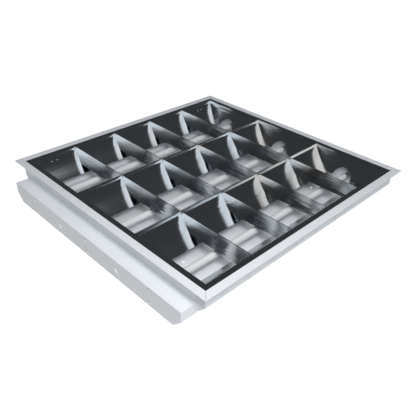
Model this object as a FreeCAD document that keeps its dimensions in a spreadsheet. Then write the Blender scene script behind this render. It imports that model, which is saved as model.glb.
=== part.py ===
"""Recessed troffer light for a 600 mm ceiling grid: three T5 lamps behind a parabolic mirror louvre.

Millimetres. The light lies on its roof with the louvre up: +Z points out of the light-emitting
face, the lamps run along X, and the gear box overhangs the flange on the -X side. The origin is
the middle of the roof, straight below the middle of the square flange.
"""
import FreeCAD, Part
import math
import os
import Sketcher

Vector = FreeCAD.Vector
doc = FreeCAD.newDocument("recessed_troffer_light")
sheet = doc.addObject("Spreadsheet::Sheet", "Sizes")

# ---------------------------------------------------------------- driving sizes
SIZES = [
    ("flange_size", 595, "outer side of the square flange, for a 600 grid"),
    ("flange_width", 15.5, "visible width of the white flange"),
    ("overall_height", 75, "roof to light-emitting face"),
    ("steel", 0.7, "painted sheet of the housing"),
    ("hem_drop", 2.5, "down-turned lip round the flange"),
    ("neck_inset", 13, "flange edge to the neck wall"),
    ("neck_drop", 34, "light-emitting face to the shoulder of the housing"),
    ("lip_width", 5, "out-turned lip that carries the flange"),
    ("ledge_width", 5, "shelf inside the opening that the louvre lies on"),
    ("fixing_hole", 5.5, "diameter of the roof fixing holes"),
    ("fixing_along", 400, "fixing hole spacing along the lamps"),
    ("fixing_across", 280, "fixing hole spacing across the lamps"),
    ("gear_reach", 20.5, "gear box face beyond the flange edge"),
    ("gear_inset", 32, "flange edge to the end wall of the gear box"),
    ("gear_corner", 20, "cut corner of the gear box"),
    ("gear_lip", 11.5, "return that the cover is screwed to"),
    ("screw_inset", 6.5, "cover screw row from the edge of the cover"),
    ("screw_shank", 3, "diameter of the cover screws"),
    ("screw_head", 6.4, "diameter of their heads"),
    ("screw_rise", 1.6, "height of their heads"),
    ("screw_reach", 5, "length of their shanks"),
    ("hole_play", 0.1, "radial play of a screw or plug in its hole"),
    ("plug_hole", 8, "knock-out hole in the cover"),
    ("plug_head", 11, "head of the plug in it"),
    ("plug_rise", 1.2, "height of that head"),
    ("plug_drop", 15.5, "knock-out centre above the roof plane"),
    ("inlet_bore", 9, "mains cable bore of the grommet"),
    ("inlet_hole", 15, "grommet hole in the end wall"),
    ("inlet_flange", 18, "outer diameter of the grommet"),
    ("inlet_rise", 1.6, "thickness of each grommet flange"),
    ("inlet_height", 30.5, "grommet centre above the roof plane"),
    ("holder_depth", 9, "lampholder along the lamp, which leaves 549 between the caps: T5 14 W"),
    ("lamp_diameter", 16, "tube and cap"),
    ("lamp_pitch", 185, "between neighbouring lamps"),
    ("lamp_drop", 50, "light-emitting face to the lamp centre"),
    ("glass_wall", 0.8, "wall of the tube"),
    ("cap_length", 12, "metal end cap"),
    ("cap_wall", 0.35, "wall of the cap"),
    ("cap_play", 0.05, "radial gap between cap and glass"),
    ("pin_diameter", 2.37, "G5 pin"),
    ("pin_spacing", 4.75, "between the two pins of a cap"),
    ("pin_length", 6.9, "pin beyond the cap"),
    ("lamp_gap", 0.3, "cap face to lampholder"),
    ("holder_width", 22, "lampholder"),
    ("holder_wall", 1, "behind the rotor"),
    ("rotor_diameter", 12.8, "turning part that grips the pins"),
    ("rotor_play", 0.05, "radial running gap of the rotor"),
    ("rotor_gap", 0.1, "end gap of the rotor"),
    ("rotor_floor", 0.6, "below the pin slot"),
    ("slot_play", 0.12, "each side of the pins in a slot"),
    ("mirror", 0.5, "aluminium sheet of the louvre"),
    ("louvre_gap", 0.5, "between louvre and flange opening, each side"),
    ("louvre_recess", 0.5, "louvre rim below the flange face"),
    ("rim_width", 11, "flat dark rim round the louvre"),
    ("rim_drop", 6.5, "turned-down edge of the rim"),
    ("mirror_drop", 46, "light-emitting face to the lower edge of the mirrors"),
    ("aperture", 76, "gap between the mirrors round each lamp"),
    ("mirror_bulge", 4.4, "hollow of the parabola against its chord"),
    ("land_drop", 5.5, "straight top of a mirror, where the blades are hooked in"),
    ("land_run", 2, "lean of that straight top"),
    ("ridge", 1.6, "folded top of a divider or blade"),
    ("end_lean", 23, "lean of the end mirrors from rim to lower edge"),
    ("end_bulge", 3, "hollow of the end mirrors"),
    ("lamp_arch", 48, "diameter of the arches that the lamps pass through"),
    ("blade_pitch", 109, "between neighbouring cross blades"),
    ("blade_drop", 33, "light-emitting face to the lower edge of the blades"),
    ("blade_foot", 13, "width of a blade at its lower edge"),
    ("blade_bulge", 1.2, "hollow of a blade's faces"),
    ("blade_play", 0.15, "between a blade and the mirrors it meets"),
    ("tab_reach", 0.4, "blade tab beyond the top of the mirror"),
    ("spring_width", 12, "leaf spring that steadies the louvre"),
    ("spring_leaf", 0.5, "its sheet"),
    ("spring_foot", 11, "its riveted foot"),
    ("spring_gap", 0.45, "nose to the slanted back of the mirror, level"),
    ("spring_inset", 74.5, "flange edge to the middle of a spring"),
    ("ballast_length", 280, "electronic ballast"),
    ("ballast_width", 26, "electronic ballast"),
    ("ballast_height", 21, "electronic ballast"),
    ("ballast_inset", 53.5, "ear of the ballast from the inlet end of the gear box"),
    ("ballast_gap", 1, "ballast to the neck wall"),
    ("ballast_round", 2, "rounded top edges of its case"),
    ("ear_length", 12, "mounting ear of the ballast"),
    ("ear_sheet", 1.2, "its thickness"),
    ("terminal_length", 14, "push-in terminal strip on the ballast"),
    ("terminal_width", 22, "push-in terminal strip on the ballast"),
    ("terminal_height", 7, "push-in terminal strip on the ballast"),
    ("block_length", 34, "mains terminal block"),
    ("block_width", 20, "mains terminal block"),
    ("block_height", 16, "mains terminal block"),
    ("block_gap", 24, "ear of the ballast to the mains terminal block"),
    ("block_well", 4.4, "diameter of its screw wells"),
    ("well_depth", 3, "depth of those wells"),
    ("entry_bore", 3, "its wire entries"),
    ("pole_pitch", 10, "between its poles"),
    ("clamp_screw", 4, "its screws"),
    ("earth_gap", 14, "mains terminal block to the middle of the earth screw"),
    ("earth_head", 7, "head of the earth screw"),
    ("earth_rise", 2.6, "height of that head"),
    ("earth_shank", 4, "its shank"),
    ("shank_short", 0.5, "short screw through the roof sheet only"),
    ("wireway_width", 24, "cover over the wires to the far lampholders"),
    ("wireway_height", 11, "same cover"),
    ("wireway_foot", 6, "its spot-welded feet"),
    ("wire_hole", 8, "wire holes in the neck wall"),
    ("wire_hole_side", 17, "wire hole beside the lamp centre"),
    ("wire_hole_height", 14, "wire hole above the roof plane"),
    ("wire_diameter", 1.8, "insulated lamp wire"),
    ("wire_gap", 0.3, "wire to its neighbours and to the sheet below it"),
]


def fill_sheet():
    """One row a size: its name, its value in millimetres and what it measures."""
    for row, (alias, millimetres, meaning) in enumerate(SIZES, start=1):
        sheet.set(f"A{row}", alias)
        sheet.set(f"B{row}", str(millimetres))
        sheet.set(f"C{row}", meaning)
        sheet.setAlias(f"B{row}", alias)
    doc.recompute()


fill_sheet()


def size(alias):
    """The way an expression names a cell of the sheet."""
    return f"Sizes.{alias}"


def value(expression):
    """What an expression comes to now, in millimetres."""
    return float(sheet.evalExpression(expression))


# ---------------------------------------------------------------- shared places, as expressions
STEEL = size("steel")
TOP = size("overall_height")
FLANGE = f"({size('flange_size')} / 2)"
OPENING = f"({FLANGE} - {size('flange_width')})"
UNDER = f"({TOP} - {STEEL})"
NECK = f"({FLANGE} - {size('neck_inset')})"
CHAMBER = f"({NECK} - {STEEL})"
SHOULDER = f"({TOP} - {size('neck_drop')})"
ROOF = f"({NECK} - {SHOULDER})"
GEAR_FACE = f"({FLANGE} + {size('gear_reach')})"
GEAR_END = f"({FLANGE} - {size('gear_inset')})"
GEAR_MIDDLE = f"(({GEAR_FACE} + {NECK}) / 2)"
CORNER = size("gear_corner")
BEND = math.sqrt(2) - 1  # how far a 45 degree bend moves its inner corner, per unit of sheet

LAMP = f"({TOP} - {size('lamp_drop')})"
HOLDER_FACE = f"({CHAMBER} - {size('holder_depth')})"
LAMP_END = f"({HOLDER_FACE} - {size('lamp_gap')})"
LAMP_LINES = {1: f"(-{size('lamp_pitch')})", 2: "0", 3: f"({size('lamp_pitch')})"}

SHEEN = size("mirror")
LOUVRE = f"({OPENING} - {size('louvre_gap')})"
LOUVRE_TOP = f"({TOP} - {size('louvre_recess')})"
LEDGE = f"({LOUVRE_TOP} - {size('rim_drop')})"
RIM = f"({LOUVRE} - {size('rim_width')})"
MIRROR_FOOT = f"({TOP} - {size('mirror_drop')})"
LAND = f"({LOUVRE_TOP} - {size('land_drop')})"
HALF_RIDGE = f"({size('ridge')} / 2)"
DIVIDER = f"({size('lamp_pitch')} / 2)"
DIVIDER_FOOT = f"({DIVIDER} - {size('aperture')} / 2)"
SIDE_FOOT = f"({size('lamp_pitch')} + {size('aperture')} / 2)"
SLANT = math.sqrt(0.5)  # share of a 45 degree shift along each axis
ARC_Z = f"(({LAND} + {MIRROR_FOOT}) / 2 - {SLANT} * {size('mirror_bulge')})"
BLADE_FOOT = f"({TOP} - {size('blade_drop')})"
BLADE_LINES = {1: -1.5, 2: -0.5, 3: 0.5, 4: 1.5}

pieces = []


# ---------------------------------------------------------------- helpers
def origin_plane(body, role):
    """One of a body's own origin planes, by its role."""
    return [item for item in body.Origin.OriginFeatures if item.Role == role][0]


def new_body(label, kept=True):
    """A body; a kept one is a sub-part of the light."""
    body = doc.addObject("PartDesign::Body", label)
    if kept:
        pieces.append(body)
    return body


def pin_point(sketch, geometry, position, place, now):
    """Tie one point of a sketch to two expressions, measured from the sketch origin."""
    for kind, expression, number in zip(("DistanceX", "DistanceY"), place, now):
        index = sketch.addConstraint(Sketcher.Constraint(kind, -1, 1, geometry, position, number))
        sketch.setExpression(f"Constraints[{index}]", expression)


def draw_outline(sketch, corners):
    """A closed outline. A corner is (x, y), or (x, y, via_x, via_y) where an arc leaves it."""
    now = [tuple(value(item) for item in corner) for corner in corners]
    for index, corner in enumerate(corners):
        follower = (index + 1) % len(corners)
        start = Vector(now[index][0], now[index][1], 0)
        end = Vector(now[follower][0], now[follower][1], 0)
        if len(corner) == 2:
            line = sketch.addGeometry(Part.LineSegment(start, end), False)
            pin_point(sketch, line, 1, corner, now[index])
            pin_point(sketch, line, 2, corners[follower][:2], now[follower][:2])
            continue
        middle = Vector(now[index][2], now[index][3], 0)
        clockwise = (middle - start).cross(end - start).z < 0
        bow = Part.Arc(end, middle, start) if clockwise else Part.Arc(start, middle, end)
        arc = sketch.addGeometry(bow, False)
        pin_point(sketch, arc, 2 if clockwise else 1, corner[:2], now[index][:2])
        pin_point(sketch, arc, 1 if clockwise else 2, corners[follower][:2], now[follower][:2])
        point = sketch.addGeometry(Part.Point(middle), True)
        pin_point(sketch, point, 1, corner[2:], now[index][2:])
        sketch.addConstraint(Sketcher.Constraint("PointOnObject", point, 1, arc))


def draw_circle(sketch, centre, radius):
    """A circle with its centre and radius tied to expressions."""
    now = tuple(value(item) for item in centre)
    shape = Part.Circle(Vector(now[0], now[1], 0), Vector(0, 0, 1), value(radius))
    circle = sketch.addGeometry(shape, False)
    pin_point(sketch, circle, 3, centre, now)
    index = sketch.addConstraint(Sketcher.Constraint("Radius", circle, value(radius)))
    sketch.setExpression(f"Constraints[{index}]", radius)


def draw(body, name, plane, outlines=(), circles=(), at="0"):
    """A sketch on one of the body's origin planes, moved along that plane's normal by at."""
    sketch = body.newObject("Sketcher::SketchObject", name)
    sketch.AttachmentSupport = [(origin_plane(body, plane), "")]
    sketch.MapMode = "FlatFace"
    sketch.setExpression("AttachmentOffset.Base.z", at)
    for corners in outlines:
        draw_outline(sketch, corners)
    for centre, radius in circles:
        draw_circle(sketch, centre, radius)
    return sketch


def extrude(body, kind, sketch, length, direction):
    """Pad or pocket: direction 0 goes both ways, 1 along the sketch normal and -1 against it."""
    feature = body.newObject(f"PartDesign::{kind}", f"{sketch.Name}_{kind.lower()}")
    feature.Profile = sketch
    feature.setExpression("Length", length)
    feature.SideType = "Symmetric" if direction == 0 else "One side"
    along = direction if kind == "Pad" else -direction
    feature.Reversed = along < 0
    return feature


def pad(body, sketch, length, direction=1):
    return extrude(body, "Pad", sketch, length, direction)


def pocket(body, sketch, length, direction=0):
    return extrude(body, "Pocket", sketch, length, direction)


def rectangle(low_x, high_x, low_y, high_y):
    """The four corners of an upright rectangle."""
    return [(low_x, low_y), (high_x, low_y), (high_x, high_y), (low_x, high_y)]


def mirrored(half):
    """A half outline, listed from the top down on the + side, closed by its mirror image."""
    return half + [(f"-({corner[0]})", corner[1]) for corner in reversed(half)]


def place(item, base, axis="Z"):
    """Put a primitive at three expressions, with its own Z turned onto the named axis."""
    turns = {"X": (Vector(0, 1, 0), 90), "Y": (Vector(1, 0, 0), -90), "Z": (Vector(0, 0, 1), 0)}
    item.Placement = FreeCAD.Placement(Vector(), FreeCAD.Rotation(*turns[axis]))
    for letter, expression in zip("xyz", base):
        item.setExpression(f"Placement.Base.{letter}", expression)
    return item


def block(name, spans):
    """A box between three pairs of expressions."""
    item = doc.addObject("Part::Box", name)
    for prop, (low, high) in zip(("Length", "Width", "Height"), spans):
        item.setExpression(prop, f"({high}) - ({low})")
    return place(item, [low for low, high in spans])


def rod(name, diameter, start, length, axis):
    """A cylinder from start along an axis."""
    item = doc.addObject("Part::Cylinder", name)
    item.setExpression("Radius", f"({diameter}) / 2")
    item.setExpression("Height", length)
    return place(item, start, axis)


def dome(name, wide, narrow, start, length, axis):
    """A frustum: the plain form of a screw head."""
    item = doc.addObject("Part::Cone", name)
    item.setExpression("Radius1", f"({wide}) / 2")
    item.setExpression("Radius2", f"({narrow}) / 2")
    item.setExpression("Height", length)
    return place(item, start, axis)


def join(name, items):
    item = doc.addObject("Part::MultiFuse", name)
    item.Shapes = items
    return item


def cut(name, base, tool):
    item = doc.addObject("Part::Cut", name)
    item.Base = base
    item.Tool = tool
    return item


def group(name, items):
    """Separate solids in one node."""
    item = doc.addObject("Part::Compound", name)
    item.Links = items
    return item


def keep(item):
    """Mark an object as a sub-part of the light."""
    pieces.append(item)
    return item


# ---------------------------------------------------------------- housing
def trim_frame():
    """White flange: one folded section carried round the square with mitred corners."""
    body = new_body("trim_frame")
    hem = f"({TOP} - {size('hem_drop')})"
    shelf = f"({OPENING} - {size('ledge_width')})"
    path = draw(body, "flange_path", "XY_Plane", [mirrored([(FLANGE, FLANGE), (FLANGE, f"-{FLANGE}")])])
    section = draw(body, "flange_section", "XZ_Plane", [[
        (FLANGE, TOP),
        (FLANGE, hem),
        (f"{FLANGE} - {STEEL}", hem),
        (f"{FLANGE} - {STEEL}", UNDER),
        (f"{OPENING} + {STEEL}", UNDER),
        (f"{OPENING} + {STEEL}", f"{LEDGE} - {STEEL}"),
        (shelf, f"{LEDGE} - {STEEL}"),
        (shelf, LEDGE),
        (OPENING, LEDGE),
        (OPENING, TOP),
    ]])
    doc.recompute()
    pipe = body.newObject("PartDesign::AdditivePipe", "flange_sweep")
    pipe.Profile = section
    pipe.Spine = path
    pipe.Transition = "Right corner"


def housing_pan():
    """Neck, 45 degree sides and roof in one folded sheet, the same all along the lamps."""
    body = new_body("housing_pan")
    lip = f"{NECK} + {size('lip_width')}"
    under_lip = f"{UNDER} - {STEEL}"
    outside = [(lip, UNDER), (lip, under_lip), (NECK, under_lip), (NECK, SHOULDER), (ROOF, "0")]
    inside = [
        (f"{ROOF} - {BEND} * {STEEL}", STEEL),
        (CHAMBER, f"{SHOULDER} + {BEND} * {STEEL}"),
        (CHAMBER, UNDER),
    ]
    right = outside
    left = [(f"-({y})", z) for y, z in reversed(outside)]
    left_inside = [(f"-({y})", z) for y, z in reversed(inside)]
    section = draw(body, "pan_section", "YZ_Plane", [right + left + left_inside + inside])
    pad(body, section, f"2 * {CHAMBER}", 0)
    along = f"{size('fixing_along')} / 2"
    across = f"{size('fixing_across')} / 2"
    radius = f"{size('fixing_hole')} / 2"
    places = [(f"{a} * {along}", f"{b} * {across}") for a in (-1, 1) for b in (-1, 1)]
    holes = draw(body, "fixing_holes", "XY_Plane", circles=[(spot, radius) for spot in places])
    pocket(body, holes, f"4 * {STEEL}")


def end_plate(label, side):
    """Flat end of the lamp chamber with a lip under the flange; side is -1 or 1 along X."""
    body = new_body(label)
    half = [(NECK, UNDER), (NECK, SHOULDER), (ROOF, "0")]
    wall = draw(body, f"{label}_outline", "YZ_Plane", [mirrored(half)], at=f"{side} * {NECK}")
    pad(body, wall, STEEL, -side)
    low = f"{UNDER} - {STEEL}"
    lip_shape = rectangle(f"-{NECK}", NECK, low, UNDER)
    lip = draw(body, f"{label}_lip", "YZ_Plane", [lip_shape], at=f"{side} * {NECK}")
    pad(body, lip, size("lip_width"), side)
    if side < 0:
        radius = f"{size('wire_hole')} / 2"
        spots = [f"{line} + {size('wire_hole_side')}" for line in LAMP_LINES.values()]
        circles = [((spot, size("wire_hole_height")), radius) for spot in spots]
        holes = draw(body, "wire_holes", "YZ_Plane", circles=circles, at=f"-{NECK}")
        pocket(body, holes, f"4 * {STEEL}")


# ---------------------------------------------------------------- gear box
COVER_ROWS = {
    "low": size("screw_inset"),
    "high": f"({SHOULDER} - {size('screw_inset')})",
}
BALLAST_HALF = f"({size('ballast_length')} / 2 + {size('ear_length')})"
BALLAST_Y = f"({GEAR_END} - {size('ballast_inset')} - {BALLAST_HALF})"
BALLAST_ENDS = {
    side: f"({BALLAST_Y} + {side} * ({size('ballast_length')} + {size('ear_length')}) / 2)"
    for side in (-1, 1)
}
BLOCK_Y = (f"({BALLAST_Y} - {BALLAST_HALF} - {size('block_gap')}"
           f" - {size('block_length')} / 2)")
EARTH_Y = f"({BLOCK_Y} - {size('block_length')} / 2 - {size('earth_gap')})"
BALLAST_X = f"(-({NECK} + {size('ballast_gap')} + {size('ballast_width')} / 2))"


def gear_outline(inset):
    """Outline of the gear box across X, moved inward by an expression."""
    end = f"({GEAR_END} - {inset})"
    return mirrored([
        (end, f"{SHOULDER} - {inset}"),
        (end, f"{CORNER} + {BEND} * {inset}"),
        (f"{GEAR_END} - {CORNER} - {BEND} * {inset}", inset),
    ])


def cover_screw_spots():
    """Two screws, one above the other, on each lamp line."""
    return [(line, row) for line in LAMP_LINES.values() for row in COVER_ROWS.values()]


def gear_box_shell():
    """Folded box beside the neck, open to the neck wall and through a window behind its cover."""
    body = new_body("gear_box_shell")
    front = f"-({GEAR_FACE} - {STEEL})"
    outer = draw(body, "shell_outline", "YZ_Plane", [gear_outline("0")], at=front)
    pad(body, outer, f"{GEAR_FACE} - {STEEL} - {NECK}")
    inner = draw(body, "shell_inside", "YZ_Plane", [gear_outline(STEEL)], at=f"-{NECK}")
    pocket(body, inner, f"{GEAR_FACE} - 2 * {STEEL} - {NECK}", -1)
    reach = f"({GEAR_END} - {CORNER} - {size('gear_lip')})"
    lip = size("gear_lip")
    opening = rectangle(f"-{reach}", reach, lip, f"{SHOULDER} - {lip}")
    window = draw(body, "shell_window", "YZ_Plane", [opening], at=front)
    pocket(body, window, f"4 * {STEEL}")
    radius = f"{size('screw_shank')} / 2 + {size('hole_play')}"
    circles = [(spot, radius) for spot in cover_screw_spots()]
    holes = draw(body, "shell_screw_holes", "YZ_Plane", circles=circles, at=front)
    pocket(body, holes, f"4 * {STEEL}")
    centre = (f"-{GEAR_MIDDLE}", size("inlet_height"))
    inlet = draw(body, "shell_inlet", "XZ_Plane", circles=[(centre, f"{size('inlet_hole')} / 2")],
                 at=f"-{GEAR_END}")
    pocket(body, inlet, f"4 * {STEEL}")
    base = [((BALLAST_X, spot), radius) for spot in BALLAST_ENDS.values()]
    earth = (f"-{GEAR_MIDDLE}", EARTH_Y)
    base.append((earth, f"{size('earth_shank')} / 2 + {size('hole_play')}"))
    floor = draw(body, "shell_floor_holes", "XY_Plane", circles=base)
    pocket(body, floor, f"4 * {STEEL}")


def gear_box_cover():
    """Flat outer face with six screw holes and two knock-outs on the divider lines."""
    body = new_body("gear_box_cover")
    front = f"-{GEAR_FACE}"
    plate = draw(body, "cover_outline", "YZ_Plane", [gear_outline("0")], at=front)
    pad(body, plate, STEEL)
    radius = f"{size('screw_shank')} / 2 + {size('hole_play')}"
    circles = [(spot, radius) for spot in cover_screw_spots()]
    for side in (-1, 1):
        circles.append(((f"{side} * {DIVIDER}", size("plug_drop")), f"{size('plug_hole')} / 2"))
    holes = draw(body, "cover_holes", "YZ_Plane", circles=circles, at=front)
    pocket(body, holes, f"4 * {STEEL}")


def headed(name, spot, head, narrow, rise, shank, reach, axis, back):
    """A screw or plug: its head rises from spot against the axis when back is -1."""
    base = list(spot)
    letter = "XYZ".index(axis)
    if back < 0:
        base[letter] = f"{spot[letter]} - {rise}"
        cap = dome(f"{name}_head", narrow, head, base, rise, axis)
        stem = rod(f"{name}_shank", shank, spot, reach, axis)
    else:
        cap = dome(f"{name}_head", head, narrow, spot, rise, axis)
        base[letter] = f"{spot[letter]} - {reach}"
        stem = rod(f"{name}_shank", shank, base, reach, axis)
    return join(name, [cap, stem])


def cover_fasteners():
    """Six pan-head screws and the two plugs in the knock-outs."""
    screws = []
    for number, (line, row) in enumerate(cover_screw_spots(), start=1):
        spot = (f"-{GEAR_FACE}", line, row)
        head = size("screw_head")
        screws.append(headed(f"cover_screw_{number}", spot, head, f"0.7 * {head}",
                             size("screw_rise"), size("screw_shank"), size("screw_reach"), "X", -1))
    keep(group("cover_screws", screws))
    plugs = []
    for number, side in enumerate((-1, 1), start=1):
        spot = (f"-{GEAR_FACE}", f"{side} * {DIVIDER}", size("plug_drop"))
        head = size("plug_head")
        stem = f"{size('plug_hole')} - 2 * {size('hole_play')}"
        plugs.append(headed(f"blanking_plug_{number}", spot, head, f"0.8 * {head}",
                            size("plug_rise"), stem, f"4 * {STEEL}", "X", -1))
    keep(group("blanking_plugs", plugs))


def ballast():
    """Electronic ballast: case with an ear at each end, two terminal strips and two screws."""
    body = new_body("ballast_case")
    half = f"({size('ballast_width')} / 2)"
    roof = f"({STEEL} + {size('ballast_height')})"
    curve = size("ballast_round")
    inner = f"({half} - {curve})"
    lift = f"({curve} * {1 - SLANT})"
    left, right = f"{BALLAST_X} - {half}", f"{BALLAST_X} + {half}"
    section = draw(body, "case_section", "XZ_Plane", [[
        (left, STEEL),
        (right, STEEL),
        (right, f"{roof} - {curve}", f"{right} - {lift}", f"{roof} - {lift}"),
        (f"{BALLAST_X} + {inner}", roof),
        (f"{BALLAST_X} - {inner}", roof, f"{left} + {lift}", f"{roof} - {lift}"),
        (left, f"{roof} - {curve}"),
    ]], at=f"-{BALLAST_Y}")
    pad(body, section, size("ballast_length"), 0)
    ears = rectangle(left, right, STEEL, f"{STEEL} + {size('ear_sheet')}")
    ear = draw(body, "case_ears", "XZ_Plane", [ears], at=f"-{BALLAST_Y}")
    pad(body, ear, f"{size('ballast_length')} + 2 * {size('ear_length')}", 0)
    radius = f"{size('screw_shank')} / 2 + {size('hole_play')}"
    spots = [((BALLAST_X, end), radius) for end in BALLAST_ENDS.values()]
    holes = draw(body, "ear_holes", "XY_Plane", circles=spots)
    pocket(body, holes, f"4 * ({STEEL} + {size('ear_sheet')})")
    strips, screws = [], []
    for number, side in enumerate((-1, 1), start=1):
        middle = f"({BALLAST_Y} + {side} * ({size('ballast_length')} / 2 - {size('terminal_length')}))"
        deep, wide = f"{size('terminal_length')} / 2", f"{size('terminal_width')} / 2"
        strips.append(block(f"ballast_terminal_{number}", [
            (f"{BALLAST_X} - {wide}", f"{BALLAST_X} + {wide}"),
            (f"{middle} - {deep}", f"{middle} + {deep}"),
            (roof, f"{roof} + {size('terminal_height')}"),
        ]))
        spot = (BALLAST_X, BALLAST_ENDS[side], f"{STEEL} + {size('ear_sheet')}")
        reach = f"{size('ear_sheet')} + {size('shank_short')}"
        head = size("screw_head")
        screws.append(headed(f"ballast_screw_{number}", spot, head, f"0.7 * {head}",
                             size("screw_rise"), size("screw_shank"), reach, "Z", 1))
    keep(group("ballast_terminals", strips))
    keep(group("ballast_screws", screws))


def mains_connection():
    """Three-pole terminal block, its screws, the earth screw and the cable grommet."""
    body = new_body("mains_terminal_block")
    across, deep = f"{size('block_width')} / 2", f"{size('block_length')} / 2"
    middle = BLOCK_Y
    roof = f"({STEEL} + {size('block_height')})"
    foot = rectangle(f"-{GEAR_MIDDLE} - {across}", f"-{GEAR_MIDDLE} + {across}",
                     f"{middle} - {deep}", f"{middle} + {deep}")
    base = draw(body, "block_foot", "XY_Plane", [foot], at=STEEL)
    pad(body, base, size("block_height"))
    poles = [f"({middle} + {step} * {size('pole_pitch')})" for step in (-1, 0, 1)]
    circles = [((f"-{GEAR_MIDDLE}", pole), f"{size('block_well')} / 2") for pole in poles]
    wells = draw(body, "block_wells", "XY_Plane", circles=circles, at=roof)
    pocket(body, wells, size("well_depth"), -1)
    height = f"{STEEL} + {size('block_height')} / 2"
    entries = [((pole, height), f"{size('entry_bore')} / 2") for pole in poles]
    bores = draw(body, "block_entries", "YZ_Plane", circles=entries, at=f"-{GEAR_MIDDLE}")
    pocket(body, bores, f"2 * {size('block_width')}")
    screws = []
    for number, pole in enumerate(poles, start=1):
        spot = (f"-{GEAR_MIDDLE}", pole, f"{roof} - {size('well_depth')}")
        screws.append(rod(f"terminal_screw_{number}", size("clamp_screw"), spot,
                          f"0.8 * {size('well_depth')}", "Z"))
    keep(group("terminal_screws", screws))
    spot = (f"-{GEAR_MIDDLE}", EARTH_Y, STEEL)
    head = size("earth_head")
    keep(headed("earth_screw", spot, head, f"0.9 * {head}", size("earth_rise"),
                size("earth_shank"), size("shank_short"), "Z", 1))
    rise, hole = size("inlet_rise"), f"{size('inlet_hole')} - 2 * {size('hole_play')}"
    spot = [f"-{GEAR_MIDDLE}", f"{GEAR_END} - {STEEL} - {rise}", size("inlet_height")]
    inner = rod("grommet_inner", size("inlet_flange"), spot, rise, "Y")
    outer_spot = [spot[0], GEAR_END, spot[2]]
    outer = rod("grommet_outer", size("inlet_flange"), outer_spot, rise, "Y")
    throat = rod("grommet_throat", hole, spot, f"2 * {rise} + {STEEL}", "Y")
    bore = rod("grommet_bore", size("inlet_bore"), spot, f"2 * {rise} + {STEEL}", "Y")
    keep(cut("cable_grommet", join("grommet_solid", [inner, outer, throat]), bore))


def wireway():
    """Hat-shaped cover on the roof, under one divider, and the lamp wires that it hides."""
    body = new_body("wireway_cover")
    wall = f"({size('wireway_width')} / 2)"
    foot = f"({wall} + {size('wireway_foot')})"
    crest = f"({STEEL} + {size('wireway_height')})"
    half = [
        (f"{wall}", crest),
        (f"{wall}", f"{STEEL} + {SHEEN}"),
        (foot, f"{STEEL} + {SHEEN}"),
        (foot, STEEL),
        (f"{wall} - {SHEEN}", STEEL),
        (f"{wall} - {SHEEN}", f"{crest} - {SHEEN}"),
    ]
    left = [(f"{DIVIDER} - ({y})", z) for y, z in reversed(half)]
    right = [(f"{DIVIDER} + ({y})", z) for y, z in half]
    section = draw(body, "wireway_section", "YZ_Plane", [right + left])
    pad(body, section, f"2 * ({CHAMBER} - {size('lamp_gap')})", 0)
    wires = []
    pitch = f"({size('wire_diameter')} + {size('wire_gap')})"
    for number, step in enumerate((-2.5, -1.5, -0.5, 0.5, 1.5, 2.5), start=1):
        height = f"{STEEL} + {size('wire_gap')} + {size('wire_diameter')} / 2"
        spot = (f"-({CHAMBER} - {size('lamp_gap')})", f"{DIVIDER} + {step} * {pitch}", height)
        length = f"2 * ({CHAMBER} - {size('lamp_gap')})"
        wires.append(rod(f"lamp_wire_{number}", size("wire_diameter"), spot, length, "X"))
    keep(group("lamp_wires", wires))


# ---------------------------------------------------------------- lamps
ROTOR_FACE = f"({HOLDER_FACE} + {size('rotor_gap')})"
RECESS_FLOOR = f"({CHAMBER} - {size('holder_wall')})"
ROTOR_BACK = f"({RECESS_FLOOR} - {size('rotor_gap')})"
SIDES = {"front": -1, "back": 1}


def lampholder(label, line, side):
    """White G5 holder standing on the roof against the chamber's end, with its pin slot."""
    body = new_body(label)
    half = f"({size('holder_width')} / 2)"
    wall = draw(body, f"{label}_outline", "YZ_Plane", [[
        (f"{line} - {half}", STEEL),
        (f"{line} + {half}", STEEL),
        (f"{line} + {half}", LAMP, line, f"{LAMP} + {half}"),
        (f"{line} - {half}", LAMP),
    ]], at=f"{side} * {CHAMBER}")
    pad(body, wall, f"{CHAMBER} - {HOLDER_FACE}", -side)
    radius = f"{size('rotor_diameter')} / 2 + {size('rotor_play')}"
    face = f"{side} * {HOLDER_FACE}"
    recess = draw(body, f"{label}_recess", "YZ_Plane", circles=[((line, LAMP), radius)], at=face)
    pocket(body, recess, f"{RECESS_FLOOR} - {HOLDER_FACE}", side)
    gap = f"({size('pin_diameter')} / 2 + {size('slot_play')})"
    entry = rectangle(f"{line} - {gap}", f"{line} + {gap}", LAMP, f"{LAMP} + 2 * {half}")
    slot = draw(body, f"{label}_slot", "YZ_Plane", [entry], at=face)
    pocket(body, slot, f"{RECESS_FLOOR} - {HOLDER_FACE}", side)


def rotor(label, line, side):
    """Disc with a slot across its face: it holds the pins and turns with the lamp."""
    length = f"({ROTOR_BACK} - {ROTOR_FACE})"
    start = ROTOR_FACE if side > 0 else f"-{ROTOR_BACK}"
    disc = rod(f"{label}_disc", size("rotor_diameter"), (start, line, LAMP), length, "X")
    gap = f"({size('pin_diameter')} / 2 + {size('slot_play')})"
    reach = size("rotor_diameter")
    floor = f"({ROTOR_BACK} - {size('rotor_floor')})"
    deep = (ROTOR_FACE, floor) if side > 0 else (f"-{floor}", f"-{ROTOR_FACE}")
    slot = block(f"{label}_slot", [deep, (f"{line} - {reach}", f"{line} + {reach}"),
                                   (f"{LAMP} - {gap}", f"{LAMP} + {gap}")])
    keep(cut(label, disc, slot))


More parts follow.
